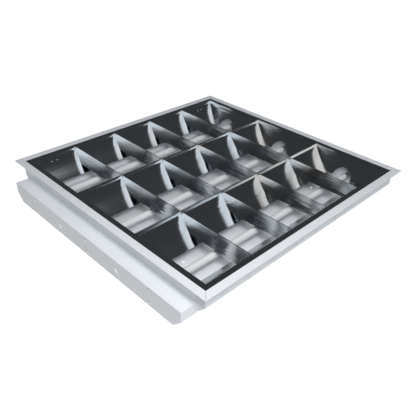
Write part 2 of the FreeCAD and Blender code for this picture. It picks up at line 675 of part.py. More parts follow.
def lamp(number, line):
    """T5 tube: hollow glass, a metal cap over each end and two pins in each cap."""
    bore = f"({size('lamp_diameter')} - 2 * {size('cap_wall')})"
    glass = f"({bore} - 2 * {size('cap_play')})"
    seat = f"({LAMP_END} - {size('cap_wall')})"
    start = (f"-{seat}", line, LAMP)
    outer = rod(f"glass_{number}", glass, start, f"2 * {seat}", "X")
    hollow = rod(f"gas_{number}", f"{glass} - 2 * {size('glass_wall')}", start, f"2 * {seat}", "X")
    keep(cut(f"lamp_tube_{number}", outer, hollow))
    caps, pins = [], []
    for name, side in SIDES.items():
        length = size("cap_length")
        base = f"{LAMP_END} - {length}" if side > 0 else f"-{LAMP_END}"
        shell = rod(f"cap_{name}_{number}", size("lamp_diameter"), (base, line, LAMP), length, "X")
        inner = f"{LAMP_END} - {length}" if side > 0 else f"-{seat}"
        room = rod(f"cap_room_{name}_{number}", bore, (inner, line, LAMP),
                   f"{length} - {size('cap_wall')}", "X")
        caps.append(cut(f"cap_shell_{name}_{number}", shell, room))
        for step in (-1, 1):
            root = LAMP_END if side > 0 else f"-({LAMP_END} + {size('pin_length')})"
            spot = (root, f"{line} + {step} * {size('pin_spacing')} / 2", LAMP)
            pins.append(rod(f"pin_{name}_{number}_{len(pins)}", size("pin_diameter"), spot,
                            size("pin_length"), "X"))
    keep(group(f"lamp_caps_{number}", caps))
    keep(group(f"lamp_pins_{number}", pins))


# ---------------------------------------------------------------- louvre
SHIFT = f"({SLANT} * {SHEEN})"
TAB_HIGH = f"({LOUVRE_TOP} - 2 * {SHEEN})"
TAB_LOW = f"({LAND} + {SHEEN})"


def mirror_wall(top, foot, back):
    """Places along Y of one mirror: its top, the foot of its straight land, its hollow and foot.

    back is 1 where the sheet lies at higher Y than its mirror face, and -1 where it lies lower.
    """
    land = f"({top} - {back} * {size('land_run')})"
    hollow = f"(({land} + {foot}) / 2 + {back} * {SLANT} * {size('mirror_bulge')})"
    return {"top": top, "land": land, "hollow": hollow, "foot": foot, "back": back}


def wall_face(wall, sideways="0", down="0"):
    """The mirror face from the top down, moved towards the back of the sheet and down."""
    move = f"{wall['back']} * ({sideways})"
    return [
        (f"{wall['top']} + {move}", f"{LOUVRE_TOP} - ({down})"),
        (f"{wall['land']} + {move}", f"{LAND} - ({down})",
         f"{wall['hollow']} + {move}", f"{ARC_Z} - ({down})"),
        (f"{wall['foot']} + {move}", f"{MIRROR_FOOT} - ({down})"),
    ]


def turned(face):
    """The same face from the foot up: the arc leaves the foot instead of the land."""
    top, land, foot = face
    return [(foot[0], foot[1], land[2], land[3]), (land[0], land[1]), top]


def channel_walls(column):
    """The two mirrors that face each other across a lamp, lower Y first."""
    near = {1: f"(-{RIM})", 2: f"(-{DIVIDER} + {HALF_RIDGE})", 3: f"({DIVIDER} + {HALF_RIDGE})"}
    far = {1: f"(-{DIVIDER} - {HALF_RIDGE})", 2: f"({DIVIDER} - {HALF_RIDGE})", 3: RIM}
    line = LAMP_LINES[column]
    half = f"{size('aperture')} / 2"
    return (mirror_wall(near[column], f"({line} - {half})", -1),
            mirror_wall(far[column], f"({line} + {half})", 1))


def blade_x(row):
    return f"({BLADE_LINES[row]} * {size('blade_pitch')})"


def blade_half_at_land():
    """Half the width of a blade where its tabs start, with room, for the slots."""
    share = f"({size('land_drop')} / ({size('blade_drop')} - {size('louvre_recess')}))"
    return f"({HALF_RIDGE} + ({size('blade_foot')} / 2 - {HALF_RIDGE}) * {share})"


def tab_slots(body, name, middle, depth):
    """Slots through a mirror's straight top, one for each row of blades."""
    half = f"({blade_half_at_land()} + {size('blade_play')})"
    low, high = f"{TAB_LOW} - {size('blade_play')}", f"{TAB_HIGH} + {size('blade_play')}"
    slots = [rectangle(f"{blade_x(row)} - {half}", f"{blade_x(row)} + {half}", low, high)
             for row in BLADE_LINES]
    sketch = draw(body, name, "XZ_Plane", slots, at=f"-({middle})")
    pocket(body, sketch, depth)


def side_reflector(label, side):
    """Rim, turned-down edge and parabolic mirror along one side, mitred at the corners."""
    body = new_body(label)
    wall = mirror_wall(f"({side} * {RIM})", f"({side} * {SIDE_FOOT})", side)
    face = wall_face(wall)
    back = turned(wall_face(wall, SHIFT, SHIFT))
    edge = [(f"{side} * ({LOUVRE} - {SHEEN})", f"{LOUVRE_TOP} - {SHEEN}"),
            (f"{side} * ({LOUVRE} - {SHEEN})", LEDGE),
            (f"{side} * {LOUVRE}", LEDGE),
            (f"{side} * {LOUVRE}", LOUVRE_TOP)]
    back[-1] = (f"{wall['top']} + {side} * {SHEEN}", f"{LOUVRE_TOP} - {SHEEN}")
    section = draw(body, f"{label}_section", "YZ_Plane", [face + back + edge])
    pad(body, section, f"2 * {LOUVRE}", 0)
    corners = []
    for end in (-1, 1):
        corners.append([
            (f"{end} * {RIM}", "0"),
            (f"{end} * {RIM}", f"{side} * {RIM}"),
            (f"{end} * ({LOUVRE} + {SHEEN})", f"{side} * ({LOUVRE} + {SHEEN})"),
            (f"{end} * ({LOUVRE} + {SHEEN})", "0"),
        ])
    mitre = draw(body, f"{label}_mitres", "XY_Plane", corners)
    pocket(body, mitre, f"2 * {TOP}", 1)
    tab_slots(body, f"{label}_slots", wall["top"], f"2 * {size('land_run')} + 2 * {SHEEN}")


def end_wall(end):
    """Places along X of an end mirror, like those of a side mirror but steeper and plain."""
    top = f"({end} * {RIM})"
    foot = f"({end} * ({RIM} - {size('end_lean')}))"
    hollow = f"(({top} + {foot}) / 2 + {end} * {size('end_bulge')})"
    return top, hollow, foot


END_Z = f"(({LOUVRE_TOP} + {MIRROR_FOOT}) / 2)"


def divider(label, side):
    """Two parabolic mirrors folded from one ridge, slotted for the blades, open below."""
    body = new_body(label)
    middle = f"({side} * {DIVIDER})"
    faces = []
    for back in (-1, 1):
        top = f"({middle} - {back} * {HALF_RIDGE})"
        foot = f"({middle} - {back} * ({DIVIDER} - {size('aperture')} / 2))"
        faces.append(mirror_wall(top, foot, back))
    high, low = faces
    ridge = (middle, f"{LAND} + {size('land_drop')} / 2")
    outline = (wall_face(high)
               + turned(wall_face(high, SHIFT, SHIFT))[:2]
               + [ridge]
               + wall_face(low, SHIFT, SHIFT)[1:]
               + turned(wall_face(low)))
    section = draw(body, f"{label}_section", "YZ_Plane", [outline])
    pad(body, section, f"2 * {RIM}", 0)
    trims = []
    for end in (-1, 1):
        top, hollow, foot = end_wall(end)
        gap = f"{end} * {size('blade_play')}"
        beyond = f"{end} * {LOUVRE}"
        trims.append([
            (f"{top} - {gap}", f"{LOUVRE_TOP} + {SHEEN}"),
            (f"{top} - {gap}", LOUVRE_TOP, f"{hollow} - {gap}", END_Z),
            (f"{foot} - {gap}", MIRROR_FOOT),
            (f"{foot} - {gap}", f"{MIRROR_FOOT} - 2 * {SHEEN}"),
            (beyond, f"{MIRROR_FOOT} - 2 * {SHEEN}"),
            (beyond, f"{LOUVRE_TOP} + {SHEEN}"),
        ])
    ends = draw(body, f"{label}_ends", "XZ_Plane", trims, at=f"-{middle}")
    pocket(body, ends, f"2 * {size('lamp_pitch')}")
    tab_slots(body, f"{label}_slots", middle, f"4 * ({size('land_run')} + {HALF_RIDGE})")


def end_panel(label, end):
    """Rim and steep mirror across one end, with an arch over each lamp."""
    body = new_body(label)
    top, hollow, foot = end_wall(end)
    back = f"{end} * {SHEEN}"
    section = draw(body, f"{label}_section", "XZ_Plane", [[
        (top, LOUVRE_TOP, hollow, END_Z),
        (foot, MIRROR_FOOT),
        (f"{foot} + {back}", MIRROR_FOOT, f"{hollow} + {back}", END_Z),
        (f"{top} + {back}", f"{LOUVRE_TOP} - {SHEEN}"),
        (f"{end} * ({LOUVRE} - {SHEEN})", f"{LOUVRE_TOP} - {SHEEN}"),
        (f"{end} * ({LOUVRE} - {SHEEN})", LEDGE),
        (f"{end} * {LOUVRE}", LEDGE),
        (f"{end} * {LOUVRE}", LOUVRE_TOP),
    ]])
    pad(body, section, f"2 * {LOUVRE}", 0)
    corners = []
    for side in (-1, 1):
        corners.append([
            ("0", f"{side} * {RIM}"),
            (f"{end} * {RIM}", f"{side} * {RIM}"),
            (f"{end} * ({LOUVRE} + {SHEEN})", f"{side} * ({LOUVRE} + {SHEEN})"),
            ("0", f"{side} * ({LOUVRE} + {SHEEN})"),
        ])
    mitre = draw(body, f"{label}_mitres", "XY_Plane", corners)
    pocket(body, mitre, f"2 * {TOP}", 1)
    cheeks = []
    for side in (-1, 1):
        wall = mirror_wall(f"({side} * {RIM})", f"({side} * {SIDE_FOOT})", side)
        face = wall_face(wall, f"-{size('blade_play')}")
        low = f"{MIRROR_FOOT} - 2 * {SHEEN}"
        under = f"{LOUVRE_TOP} - {SHEEN}"
        face[0] = (face[0][0], under)
        cheeks.append(face + [(face[2][0], low), (f"{side} * {LOUVRE}", low),
                              (f"{side} * {LOUVRE}", under)])
    trim = draw(body, f"{label}_cheeks", "YZ_Plane", cheeks)
    pocket(body, trim, f"{RIM} + {SHEEN} / 2", end)
    radius = f"{size('lamp_arch')} / 2"
    circles = [((line, LAMP), radius) for line in LAMP_LINES.values()]
    arches = draw(body, f"{label}_arches", "YZ_Plane", circles=circles)
    pocket(body, arches, LOUVRE, end)


def cross_blade(row, column):
    """Hollow V across one lamp channel, cut to the mirrors and hooked into them by two tabs."""
    body = new_body(f"cross_blade_{row}_{column}")
    middle = blade_x(row)
    half = f"({size('blade_foot')} / 2)"
    sink = f"(({HALF_RIDGE} + {half}) / 2 - {size('blade_bulge')})"
    height = f"(({LOUVRE_TOP} + {BLADE_FOOT}) / 2)"
    fold = f"({LOUVRE_TOP} - 3 * {SHEEN})"
    section = draw(body, f"blade_section_{row}_{column}", "XZ_Plane", [[
        (f"{middle} + {HALF_RIDGE}", LOUVRE_TOP, f"{middle} + {sink}", height),
        (f"{middle} + {half}", BLADE_FOOT),
        (f"{middle} + {half} - {SHEEN}", BLADE_FOOT, f"{middle} + {sink} - {SHEEN}", height),
        (middle, fold, f"{middle} - {sink} + {SHEEN}", height),
        (f"{middle} - {half} + {SHEEN}", BLADE_FOOT),
        (f"{middle} - {half}", BLADE_FOOT, f"{middle} - {sink}", height),
        (f"{middle} - {HALF_RIDGE}", LOUVRE_TOP),
    ]], at=f"-({LAMP_LINES[column]})")
    pad(body, section, f"2 * {size('lamp_pitch')}", 0)
    trims = []
    for wall in channel_walls(column):
        back = wall["back"]
        face = wall_face(wall, f"-{size('blade_play')}")
        tab = f"{wall['top']} + {back} * {size('tab_reach')}"
        lean = f"{back} * {size('land_run')} * 2 * {SHEEN} / {size('land_drop')}"
        beyond = f"{LAMP_LINES[column]} + {back} * 1.1 * {size('lamp_pitch')}"
        above = f"{LOUVRE_TOP} + {SHEEN}"
        trims.append([
            (face[0][0], above),
            (face[0][0], LOUVRE_TOP),
            (f"{face[0][0]} - {lean}", TAB_HIGH),
            (tab, TAB_HIGH),
            (tab, TAB_LOW),
            (face[1][0], TAB_LOW),
            face[1],
            face[2],
            (face[2][0], f"{MIRROR_FOOT} - {SHEEN}"),
            (beyond, f"{MIRROR_FOOT} - {SHEEN}"),
            (beyond, above),
        ])
    ends = draw(body, f"blade_ends_{row}_{column}", "YZ_Plane", trims, at=middle)
    pocket(body, ends, f"2 * {size('blade_foot')}")


def louvre_springs():
    """Four leaf springs on the neck whose noses steady the backs of the side mirrors."""
    leaf = size("spring_leaf")
    foot_low = f"({SHOULDER} + 2 * {STEEL})"
    foot_high = f"({foot_low} + {size('spring_foot')})"
    wall = mirror_wall(RIM, SIDE_FOOT, 1)
    nose_z = ARC_Z
    mirror_back = f"({wall['hollow']} + 2 * {SHIFT} + {leaf} / 2)"
    nose = f"({mirror_back} + {size('spring_gap')} + {leaf})"
    tail = f"({nose} + 3 * {leaf})"
    tail_z = f"({nose_z} - {size('spring_foot')} / 2)"
    bend = f"({CHAMBER} - {leaf})"
    body = new_body("spring_leaf_body", kept=False)
    section = draw(body, "spring_section", "YZ_Plane", [[
        (CHAMBER, foot_low),
        (CHAMBER, foot_high),
        (bend, f"{foot_high} + {leaf} / 2"),
        (f"{nose} - {leaf}", f"{nose_z} + {leaf} / 2"),
        (f"{nose} - {leaf}", f"{nose_z} - {leaf} / 2"),
        (f"{tail} - {leaf}", tail_z),
        (tail, tail_z),
        (f"{nose} + {leaf} / 2", nose_z),
        (bend, f"{foot_high} - {leaf}"),
        (bend, foot_low),
    ]], at=f"{FLANGE} - {size('spring_inset')}")
    pad(body, section, size("spring_width"), 0)
    across = doc.addObject("Part::Mirroring", "spring_other_end")
    across.Source = body
    across.Normal = Vector(1, 0, 0)
    near = group("spring_pair", [body, across])
    far = doc.addObject("Part::Mirroring", "spring_other_side")
    far.Source = near
    far.Normal = Vector(0, 1, 0)
    keep(group("louvre_springs", [near, far]))


# ---------------------------------------------------------------- assembly
def build():
    trim_frame()
    housing_pan()
    end_plate("end_plate_gear", -1)
    end_plate("end_plate_back", 1)
    gear_box_shell()
    gear_box_cover()
    cover_fasteners()
    ballast()
    mains_connection()
    wireway()
    for number, line in LAMP_LINES.items():
        for name, side in SIDES.items():
            lampholder(f"lampholder_{name}_{number}", line, side)
            rotor(f"lamp_rotor_{name}_{number}", line, side)
        lamp(number, line)
    louvre_springs()
    side_reflector("side_reflector_right", -1)
    side_reflector("side_reflector_left", 1)
    divider("divider_right", -1)
    divider("divider_left", 1)
    end_panel("end_panel_front", -1)
    end_panel("end_panel_back", 1)
    for row in BLADE_LINES:
        for column in LAMP_LINES:
            cross_blade(row, column)
    doc.recompute()


def check():
    """Stop before anything is written if an object failed or a sub-part has no sound solid."""
    for item in doc.Objects:
        if "Invalid" in item.State or "Error" in item.State:
            raise RuntimeError(f"{item.Name} could not be built")
    for piece in pieces:
        if piece.Shape.isNull() or not piece.Shape.isValid() or not piece.Shape.Solids:
            raise RuntimeError(f"{piece.Label} has no valid shape")


def write():
    os.makedirs("parts", exist_ok=True)
    for piece in pieces:
        piece.Shape.exportStep(f"parts/{piece.Label}.step")
        print(f"{piece.Label}: {len(piece.Shape.Solids)} solids, {piece.Shape.Volume:.0f} mm3")


build()
check()
write()
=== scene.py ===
import math
import random

import bmesh
import bpy
from mathutils import Matrix, Vector


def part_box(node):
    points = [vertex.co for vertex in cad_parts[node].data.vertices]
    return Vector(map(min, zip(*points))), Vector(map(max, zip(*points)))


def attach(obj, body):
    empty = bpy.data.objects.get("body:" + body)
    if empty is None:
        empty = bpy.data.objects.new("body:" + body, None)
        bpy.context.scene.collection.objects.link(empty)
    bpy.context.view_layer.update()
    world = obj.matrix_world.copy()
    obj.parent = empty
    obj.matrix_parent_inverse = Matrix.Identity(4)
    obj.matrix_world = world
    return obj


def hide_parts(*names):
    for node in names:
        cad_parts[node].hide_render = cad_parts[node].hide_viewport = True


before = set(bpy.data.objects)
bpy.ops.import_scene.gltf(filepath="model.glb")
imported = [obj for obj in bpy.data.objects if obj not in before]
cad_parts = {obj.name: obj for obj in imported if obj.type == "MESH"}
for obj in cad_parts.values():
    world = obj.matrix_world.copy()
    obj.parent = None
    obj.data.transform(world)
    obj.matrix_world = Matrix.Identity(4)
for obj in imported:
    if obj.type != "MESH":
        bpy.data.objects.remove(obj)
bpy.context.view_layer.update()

# ---------------------------------------------------------------- camera
# The photograph looks down on the light from beyond the gear box corner. The lens, the place and
# the slight roll come from the four edges of the flange, taken to be a 595 mm square.
photo_width_px = 420
focal_px = 503.299
film_width_mm = 36.0
camera_at = Vector((-0.685321, -0.68359, 0.599869))
looks_at = Vector((-0.12075, -0.12741, 0.075))
camera_roll = 0.02972
clip_near = 0.01

back_axis = (camera_at - looks_at).normalized()
right_axis = Vector((0, 0, 1)).cross(back_axis).normalized()
up_axis = back_axis.cross(right_axis)
facing = Matrix((right_axis, up_axis, back_axis)).transposed()
facing = facing @ Matrix.Rotation(camera_roll, 3, "Z")
bpy.ops.object.camera_add(location=camera_at, rotation=facing.to_euler())
camera = bpy.context.object
camera.name = "photo_camera"
camera.data.sensor_fit = "HORIZONTAL"
camera.data.sensor_width = film_width_mm
camera.data.lens = focal_px / photo_width_px * film_width_mm
camera.data.clip_start = clip_near
bpy.context.scene.camera = camera

# ---------------------------------------------------------------- studio
# A seamless grey floor whose glow makes it white to the eye, in a dim room with two wide lights,
# one overhead and one low beside the camera, and a soft box near the camera that is kept out of
# reflections. The mirrors face the dim side.
floor_colour = (0.34, 0.34, 0.34, 1.0)
floor_glow = 0.9
floor_span, floor_drop = 60.0, 0.0004
room_dark = (0.045, 0.048, 0.052, 1.0)
high_light = {"toward": (-0.16, -0.22, 0.96), "rim": 36.0, "core": 6.0, "level": 1.4,
              "tint": (1.0, 1.0, 1.0, 1.0)}
low_light = {"toward": (-0.58, -0.72, 0.34), "rim": 38.0, "core": 15.0, "level": 1.5,
             "tint": (0.95, 0.98, 1.0, 1.0)}
soft_box_at = Vector((-0.48, -0.66, 0.78))
soft_box_toward = Vector((-0.1, -0.1, 0.05))
soft_box_side, soft_box_watts = 0.30, 5.6


def feed(group, value, socket):
    """Link an output to a socket, or write a constant in it."""
    if isinstance(value, bpy.types.NodeSocket):
        group.links.new(value, socket)
    else:
        socket.default_value = value


def maths(group, operation, *values):
    """One step of arithmetic."""
    step = group.nodes.new("ShaderNodeMath")
    step.operation = operation
    for value, socket in zip(values, step.inputs):
        feed(group, value, socket)
    return step.outputs["Value"]


def tinted(group, amount, first, second, how="MIX"):
    """Two colours mixed by an amount."""
    mix = group.nodes.new("ShaderNodeMix")
    mix.data_type = "RGBA"
    mix.blend_type = how
    feed(group, amount, mix.inputs["Factor"])
    feed(group, first, mix.inputs["A"])
    feed(group, second, mix.inputs["B"])
    return mix.outputs["Result"]


bpy.context.scene.view_settings.view_transform = "Standard"
bpy.ops.object.select_all(action="DESELECT")
bpy.ops.mesh.primitive_plane_add(size=floor_span, location=(0, 0, -floor_drop))
floor = bpy.context.object
floor.name = "studio_floor"
floor_paper = bpy.data.materials.new("studio_paper")
floor_paper.use_nodes = True
paper = floor_paper.node_tree
paper_shader = paper.nodes["Principled BSDF"]
paper_shader.inputs["Base Color"].default_value = floor_colour
paper_shader.inputs["Roughness"].default_value = 0.95
paper_shader.inputs["Specular IOR Level"].default_value = 0.0
paper_shader.inputs["Emission Color"].default_value = (1.0, 1.0, 1.0, 1.0)
ray = paper.nodes.new("ShaderNodeLightPath")
seen = ray.outputs["Is Camera Ray"]
for kind in ("Is Glossy Ray", "Is Transmission Ray"):
    seen = maths(paper, "MAXIMUM", seen, ray.outputs[kind])
feed(paper, maths(paper, "MULTIPLY", seen, floor_glow), paper_shader.inputs["Emission Strength"])
floor.data.materials.append(floor_paper)

world = bpy.data.worlds.new("studio_room")
bpy.context.scene.world = world
world.use_nodes = True
room = world.node_tree
direction = room.nodes.new("ShaderNodeTexCoord")
light_so_far = room_dark
for light in (high_light, low_light):
    near = room.nodes.new("ShaderNodeVectorMath")
    near.operation = "DOT_PRODUCT"
    near.inputs[1].default_value = Vector(light["toward"]).normalized()
    room.links.new(direction.outputs["Generated"], near.inputs[0])
    edge = room.nodes.new("ShaderNodeMapRange")
    edge.interpolation_type = "SMOOTHSTEP"
    edge.inputs["From Min"].default_value = math.cos(math.radians(light["rim"]))
    edge.inputs["From Max"].default_value = math.cos(math.radians(light["core"]))
    edge.inputs["To Max"].default_value = light["level"]
    room.links.new(near.outputs["Value"], edge.inputs["Value"])
    glow_here = tinted(room, 1.0, light["tint"], edge.outputs["Result"], "MULTIPLY")
    light_so_far = tinted(room, 1.0, light_so_far, glow_here, "ADD")
room.links.new(light_so_far, room.nodes["Background"].inputs["Color"])
room.nodes["Background"].inputs["Strength"].default_value = 1.0

bpy.ops.object.light_add(
    type="AREA", location=soft_box_at,
    rotation=(soft_box_at - soft_box_toward).to_track_quat("Z", "Y").to_euler())
soft_box = bpy.context.object
soft_box.name = "soft_box"
soft_box.data.shape = "SQUARE"
soft_box.data.size = soft_box_side
soft_box.data.energy = soft_box_watts
soft_box.visible_glossy = False

# ---------------------------------------------------------------- housing sheets
# Flange, pan, end plates, gear box, its cover and the wire cover: 0.7 mm steel sheet, folded and
# spot welded, then powder coated a faintly blue white with a fine orange-peel surface.
coat_white = (0.845, 0.868, 0.905, 1.0)
inner_white = (0.905, 0.94, 0.975, 1.0)
coat_gloss, inner_gloss = 0.30, 0.42
clear_coat = {"Coat Weight": 0.12, "Coat Roughness": 0.25}
mitre_width, mitre_dark, mitre_depth = 0.00035, (0.10, 0.11, 0.12, 1.0), 0.75


def effect(name, takes, gives=None):
    """An empty node group with its sockets, its two ends and the object's coordinates."""
    gives = gives or {"Tone": "Color", "Roughness": "Float", "Height": "Float"}
    group = bpy.data.node_groups.new(name, "ShaderNodeTree")
    for way, sockets in (("INPUT", takes), ("OUTPUT", gives)):
        for label, kind in sockets.items():
            group.interface.new_socket(label, in_out=way, socket_type="NodeSocket" + kind)
    entry = group.nodes.new("NodeGroupInput")
    leave = group.nodes.new("NodeGroupOutput")
    where = group.nodes.new("ShaderNodeTexCoord").outputs["Object"]
    return group, entry.outputs, leave.inputs, where


def axes_of(group, where):
    """The three numbers of a place or a colour, apart."""
    apart = group.nodes.new("ShaderNodeSeparateXYZ")
    feed(group, where, apart.inputs["Vector"])
    return apart.outputs


def noise(group, where, scale, detail, stretch=(1.0, 1.0, 1.0)):
    """Noise over the object's coordinates, drawn out where the stretch is small."""
    spread = group.nodes.new("ShaderNodeVectorMath")
    spread.operation = "MULTIPLY"
    feed(group, where, spread.inputs[0])
    feed(group, stretch, spread.inputs[1])
    grain = group.nodes.new("ShaderNodeTexNoise")
    grain.inputs["Scale"].default_value = scale
    grain.inputs["Detail"].default_value = detail
    feed(group, spread.outputs["Vector"], grain.inputs["Vector"])
    return grain.outputs["Fac"]


def span(group, value, before, after):
    """The value taken from one range to another and held inside it."""
    change = group.nodes.new("ShaderNodeMapRange")
    for socket, number in zip(change.inputs, (value, *before, *after)):
        feed(group, number, socket)
    return change.outputs["Result"]


def powder_coat_group():
    """Paint: slow changes of tone, wiped patches, dust, and the small hills of the coat."""
    group, takes, gives, where = effect(
        "powder_coat", {"Tone": "Color", "Gloss": "Float"})
    cloud = noise(group, where, 9.0, 4.0)
    wiped = span(group, noise(group, where, 34.0, 5.0, (0.35, 1.0, 1.0)), (0.56, 0.70), (0.0, 1.0))
    dust = span(group, noise(group, where, 520.0, 3.0), (0.66, 0.80), (0.0, 1.0))
    peel = noise(group, where, 1400.0, 2.0)
    shade = maths(group, "MULTIPLY", span(group, cloud, (0.3, 0.7), (0.955, 1.0)),
                  span(group, dust, (0.0, 1.0), (1.0, 0.90)))
    shade = maths(group, "MULTIPLY", shade, span(group, wiped, (0.0, 1.0), (1.0, 0.985)))
    feed(group, tinted(group, 1.0, takes["Tone"], shade, "MULTIPLY"), gives["Tone"])
    rough = maths(group, "MULTIPLY_ADD", cloud, 0.14, takes["Gloss"])
    rough = maths(group, "MULTIPLY_ADD", wiped, 0.06, rough)
    feed(group, maths(group, "MULTIPLY_ADD", dust, 0.25, rough), gives["Roughness"])
    feed(group, maths(group, "MULTIPLY_ADD", dust, 0.5, peel), gives["Height"])
    return group


def mitre_group():
    """The thin dark joint that runs out to each corner of a square frame."""
    group, takes, gives, where = effect(
        "mitre_joint", {"Tone": "Color", "Width": "Float"}, {"Tone": "Color"})
    axes = axes_of(group, where)
    apart = maths(group, "SUBTRACT", maths(group, "ABSOLUTE", axes["X"]),
                  maths(group, "ABSOLUTE", axes["Y"]))
    joint = maths(group, "LESS_THAN", maths(group, "ABSOLUTE", apart), takes["Width"])
    amount = maths(group, "MULTIPLY", joint, mitre_depth)
    feed(group, tinted(group, amount, takes["Tone"], mitre_dark), gives["Tone"])
    return group


def finish(name, group, inputs, settings=(), bump=0.2, depth=0.00005, joint=0.0):
    """A material whose colour, roughness and relief come from one effect."""
    made = bpy.data.materials.new(name)
    made.use_nodes = True
    tree = made.node_tree
    shader = tree.nodes["Principled BSDF"]
    step = tree.nodes.new("ShaderNodeGroup")
    step.node_tree = group
    for label, value in inputs.items():
        step.inputs[label].default_value = value
    tone = step.outputs["Tone"]
    if joint:
        seam = tree.nodes.new("ShaderNodeGroup")
        seam.node_tree = mitre_joint
        seam.inputs["Width"].default_value = joint
        feed(tree, tone, seam.inputs["Tone"])
        tone = seam.outputs["Tone"]
    relief = tree.nodes.new("ShaderNodeBump")
    relief.inputs["Strength"].default_value = bump
    relief.inputs["Distance"].default_value = depth
    feed(tree, tone, shader.inputs["Base Color"])
    feed(tree, step.outputs["Roughness"], shader.inputs["Roughness"])
    feed(tree, step.outputs["Height"], relief.inputs["Height"])
    feed(tree, relief.outputs["Normal"], shader.inputs["Normal"])
    for label, value in dict(settings).items():
        shader.inputs[label].default_value = value
    return made


def dress(material, *nodes):
    """Give CAD nodes one material throughout."""
    for node in nodes:
        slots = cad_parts[node].data.materials
        slots.clear()
        slots.append(material)


powder_coat = powder_coat_group()
mitre_joint = mitre_group()
outer_paint = finish("outer_paint", powder_coat, {"Tone": coat_white, "Gloss": coat_gloss},
                     clear_coat, bump=0.25)
flange_paint = finish("flange_paint", powder_coat, {"Tone": coat_white, "Gloss": coat_gloss},
                      clear_coat, bump=0.25, joint=mitre_width)
inner_paint = finish("inner_paint", powder_coat, {"Tone": inner_white, "Gloss": inner_gloss})
dress(outer_paint, "end_plate_gear", "end_plate_back", "gear_box_shell", "gear_box_cover")
dress(flange_paint, "trim_frame")
dress(inner_paint, "housing_pan", "wireway_cover")

# ---------------------------------------------------------------- spot weld marks
# Shallow round dents that the welding tongs leave where the neck walls and the gear box are joined
# to their flanges. They lie on the outer faces and are painted over with the sheet.
weld_radius, weld_rise = 0.0026, 0.00012
weld_edge, weld_wall, weld_dent = 0.8 * weld_rise, 0.35 * weld_radius, 0.6 * weld_rise
weld_pitch, welds_each_way = 0.062, 4
weld_height, weld_line = 0.0565, -0.2945


def start_clean():
    """Leave nothing selected before a piece is begun."""
    if bpy.context.object and bpy.context.object.mode != "OBJECT":
        bpy.ops.object.mode_set(mode="OBJECT")
    bpy.ops.object.select_all(action="DESELECT")


def pick(piece, kind, test):
    """Enter edit mode and select the faces or edges that pass a test."""
    bpy.ops.object.mode_set(mode="EDIT")
    bpy.ops.mesh.select_mode(type=kind)
    bpy.ops.mesh.select_all(action="DESELECT")
    mesh = bmesh.from_edit_mesh(piece.data)
    for part in (mesh.faces if kind == "FACE" else mesh.edges):
        part.select_set(test(part))
    bmesh.update_edit_mesh(piece.data)


def settle(piece, turn=(0.0, 0.0, 0.0), at=(0.0, 0.0, 0.0)):
    """Turn and move a piece, then put its place in its mesh."""
    start_clean()
    piece.select_set(True)
    bpy.context.view_layer.objects.active = piece
    piece.rotation_euler = turn
    piece.location = at
    bpy.ops.object.transform_apply(location=True, rotation=True, scale=True)


def copies(piece, places):
    """Copies of a piece with meshes of their own, each turned and set in its place."""
    made = []
    for turn, at in places:
        twin = piece.copy()
        twin.data = piece.data.copy()
        bpy.context.collection.objects.link(twin)
        settle(twin, turn, at)
        made.append(twin)
    bpy.data.objects.remove(piece)
    return made


def together(name, parts, material, body, smooth_below=math.radians(32)):
    """Join parts to one piece, smooth it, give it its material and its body."""
    start_clean()
    for part in parts:
        part.select_set(True)
    bpy.context.view_layer.objects.active = parts[0]
    if len(parts) > 1:
        bpy.ops.object.join()
    piece = bpy.context.object
    piece.name = name
    bpy.ops.object.shade_smooth_by_angle(angle=smooth_below)
    piece.data.materials.clear()
    piece.data.materials.append(material)
    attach(piece, body)
    return piece


def disc(radius, rise, points=32):
    """A short cylinder that stands on the origin."""
    start_clean()
    bpy.ops.mesh.primitive_cylinder_add(vertices=points, radius=radius, depth=rise,
                                        location=(0, 0, rise / 2))
    piece = bpy.context.object
    settle(piece, at=piece.location)
    return piece


def flat_end(piece, way, cosine=0.99):
    """Enter edit mode and select the flat end that looks up, for 1, or down, for -1."""
    pick(piece, "FACE", lambda face: way * face.normal.z > cosine)


def round_top(piece, offset, steps, margin=1e-7):
    """Round the upper edge of a piece."""
    top = max(vertex.co.z for vertex in piece.data.vertices)
    pick(piece, "EDGE", lambda edge: all(v.co.z > top - margin for v in edge.verts))
    bpy.ops.mesh.bevel(offset=offset, segments=steps, profile=0.5)
    bpy.ops.object.mode_set(mode="OBJECT")


weld = disc(weld_radius, weld_rise)
round_top(weld, weld_edge, 2)
flat_end(weld, 1)
bpy.ops.mesh.inset(thickness=weld_wall)
bpy.ops.transform.translate(value=(0, 0, -weld_dent))
bpy.ops.object.mode_set(mode="OBJECT")
neck_low, neck_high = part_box("housing_pan")
shelf_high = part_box("gear_box_shell")[1]
weld_places = []
for step in range(-welds_each_way, welds_each_way + 1):
    along = step * weld_pitch
    for side in (-1, 1):
        wall = neck_high.y if side > 0 else neck_low.y
        weld_places.append(((-side * math.pi / 2, 0, 0), (along, wall, weld_height)))
    weld_places.append(((0, 0, 0), (weld_line, along, shelf_high.z)))
together("weld_marks", copies(weld, weld_places), outer_paint, "housing")

# ---------------------------------------------------------------- louvre mirrors
# Side mirrors, dividers, end mirrors and cross blades: 0.5 mm rolled aluminium, brightened and
# anodised, then bent. The sheet keeps rolling lines, slight waves, a warm cast and finger marks.
mirror_tone = (0.66, 0.69, 0.72, 1.0)
mirror_warm = (0.62, 0.56, 0.49, 1.0)
mirror_haze = 0.12
mirror_relief, mirror_depth = 0.8, 0.0012
rolled_along = {"x": (0.06, 1.0, 1.0), "y": (1.0, 0.06, 1.0)}
rows, lanes = (1, 2, 3, 4), (1, 2, 3)


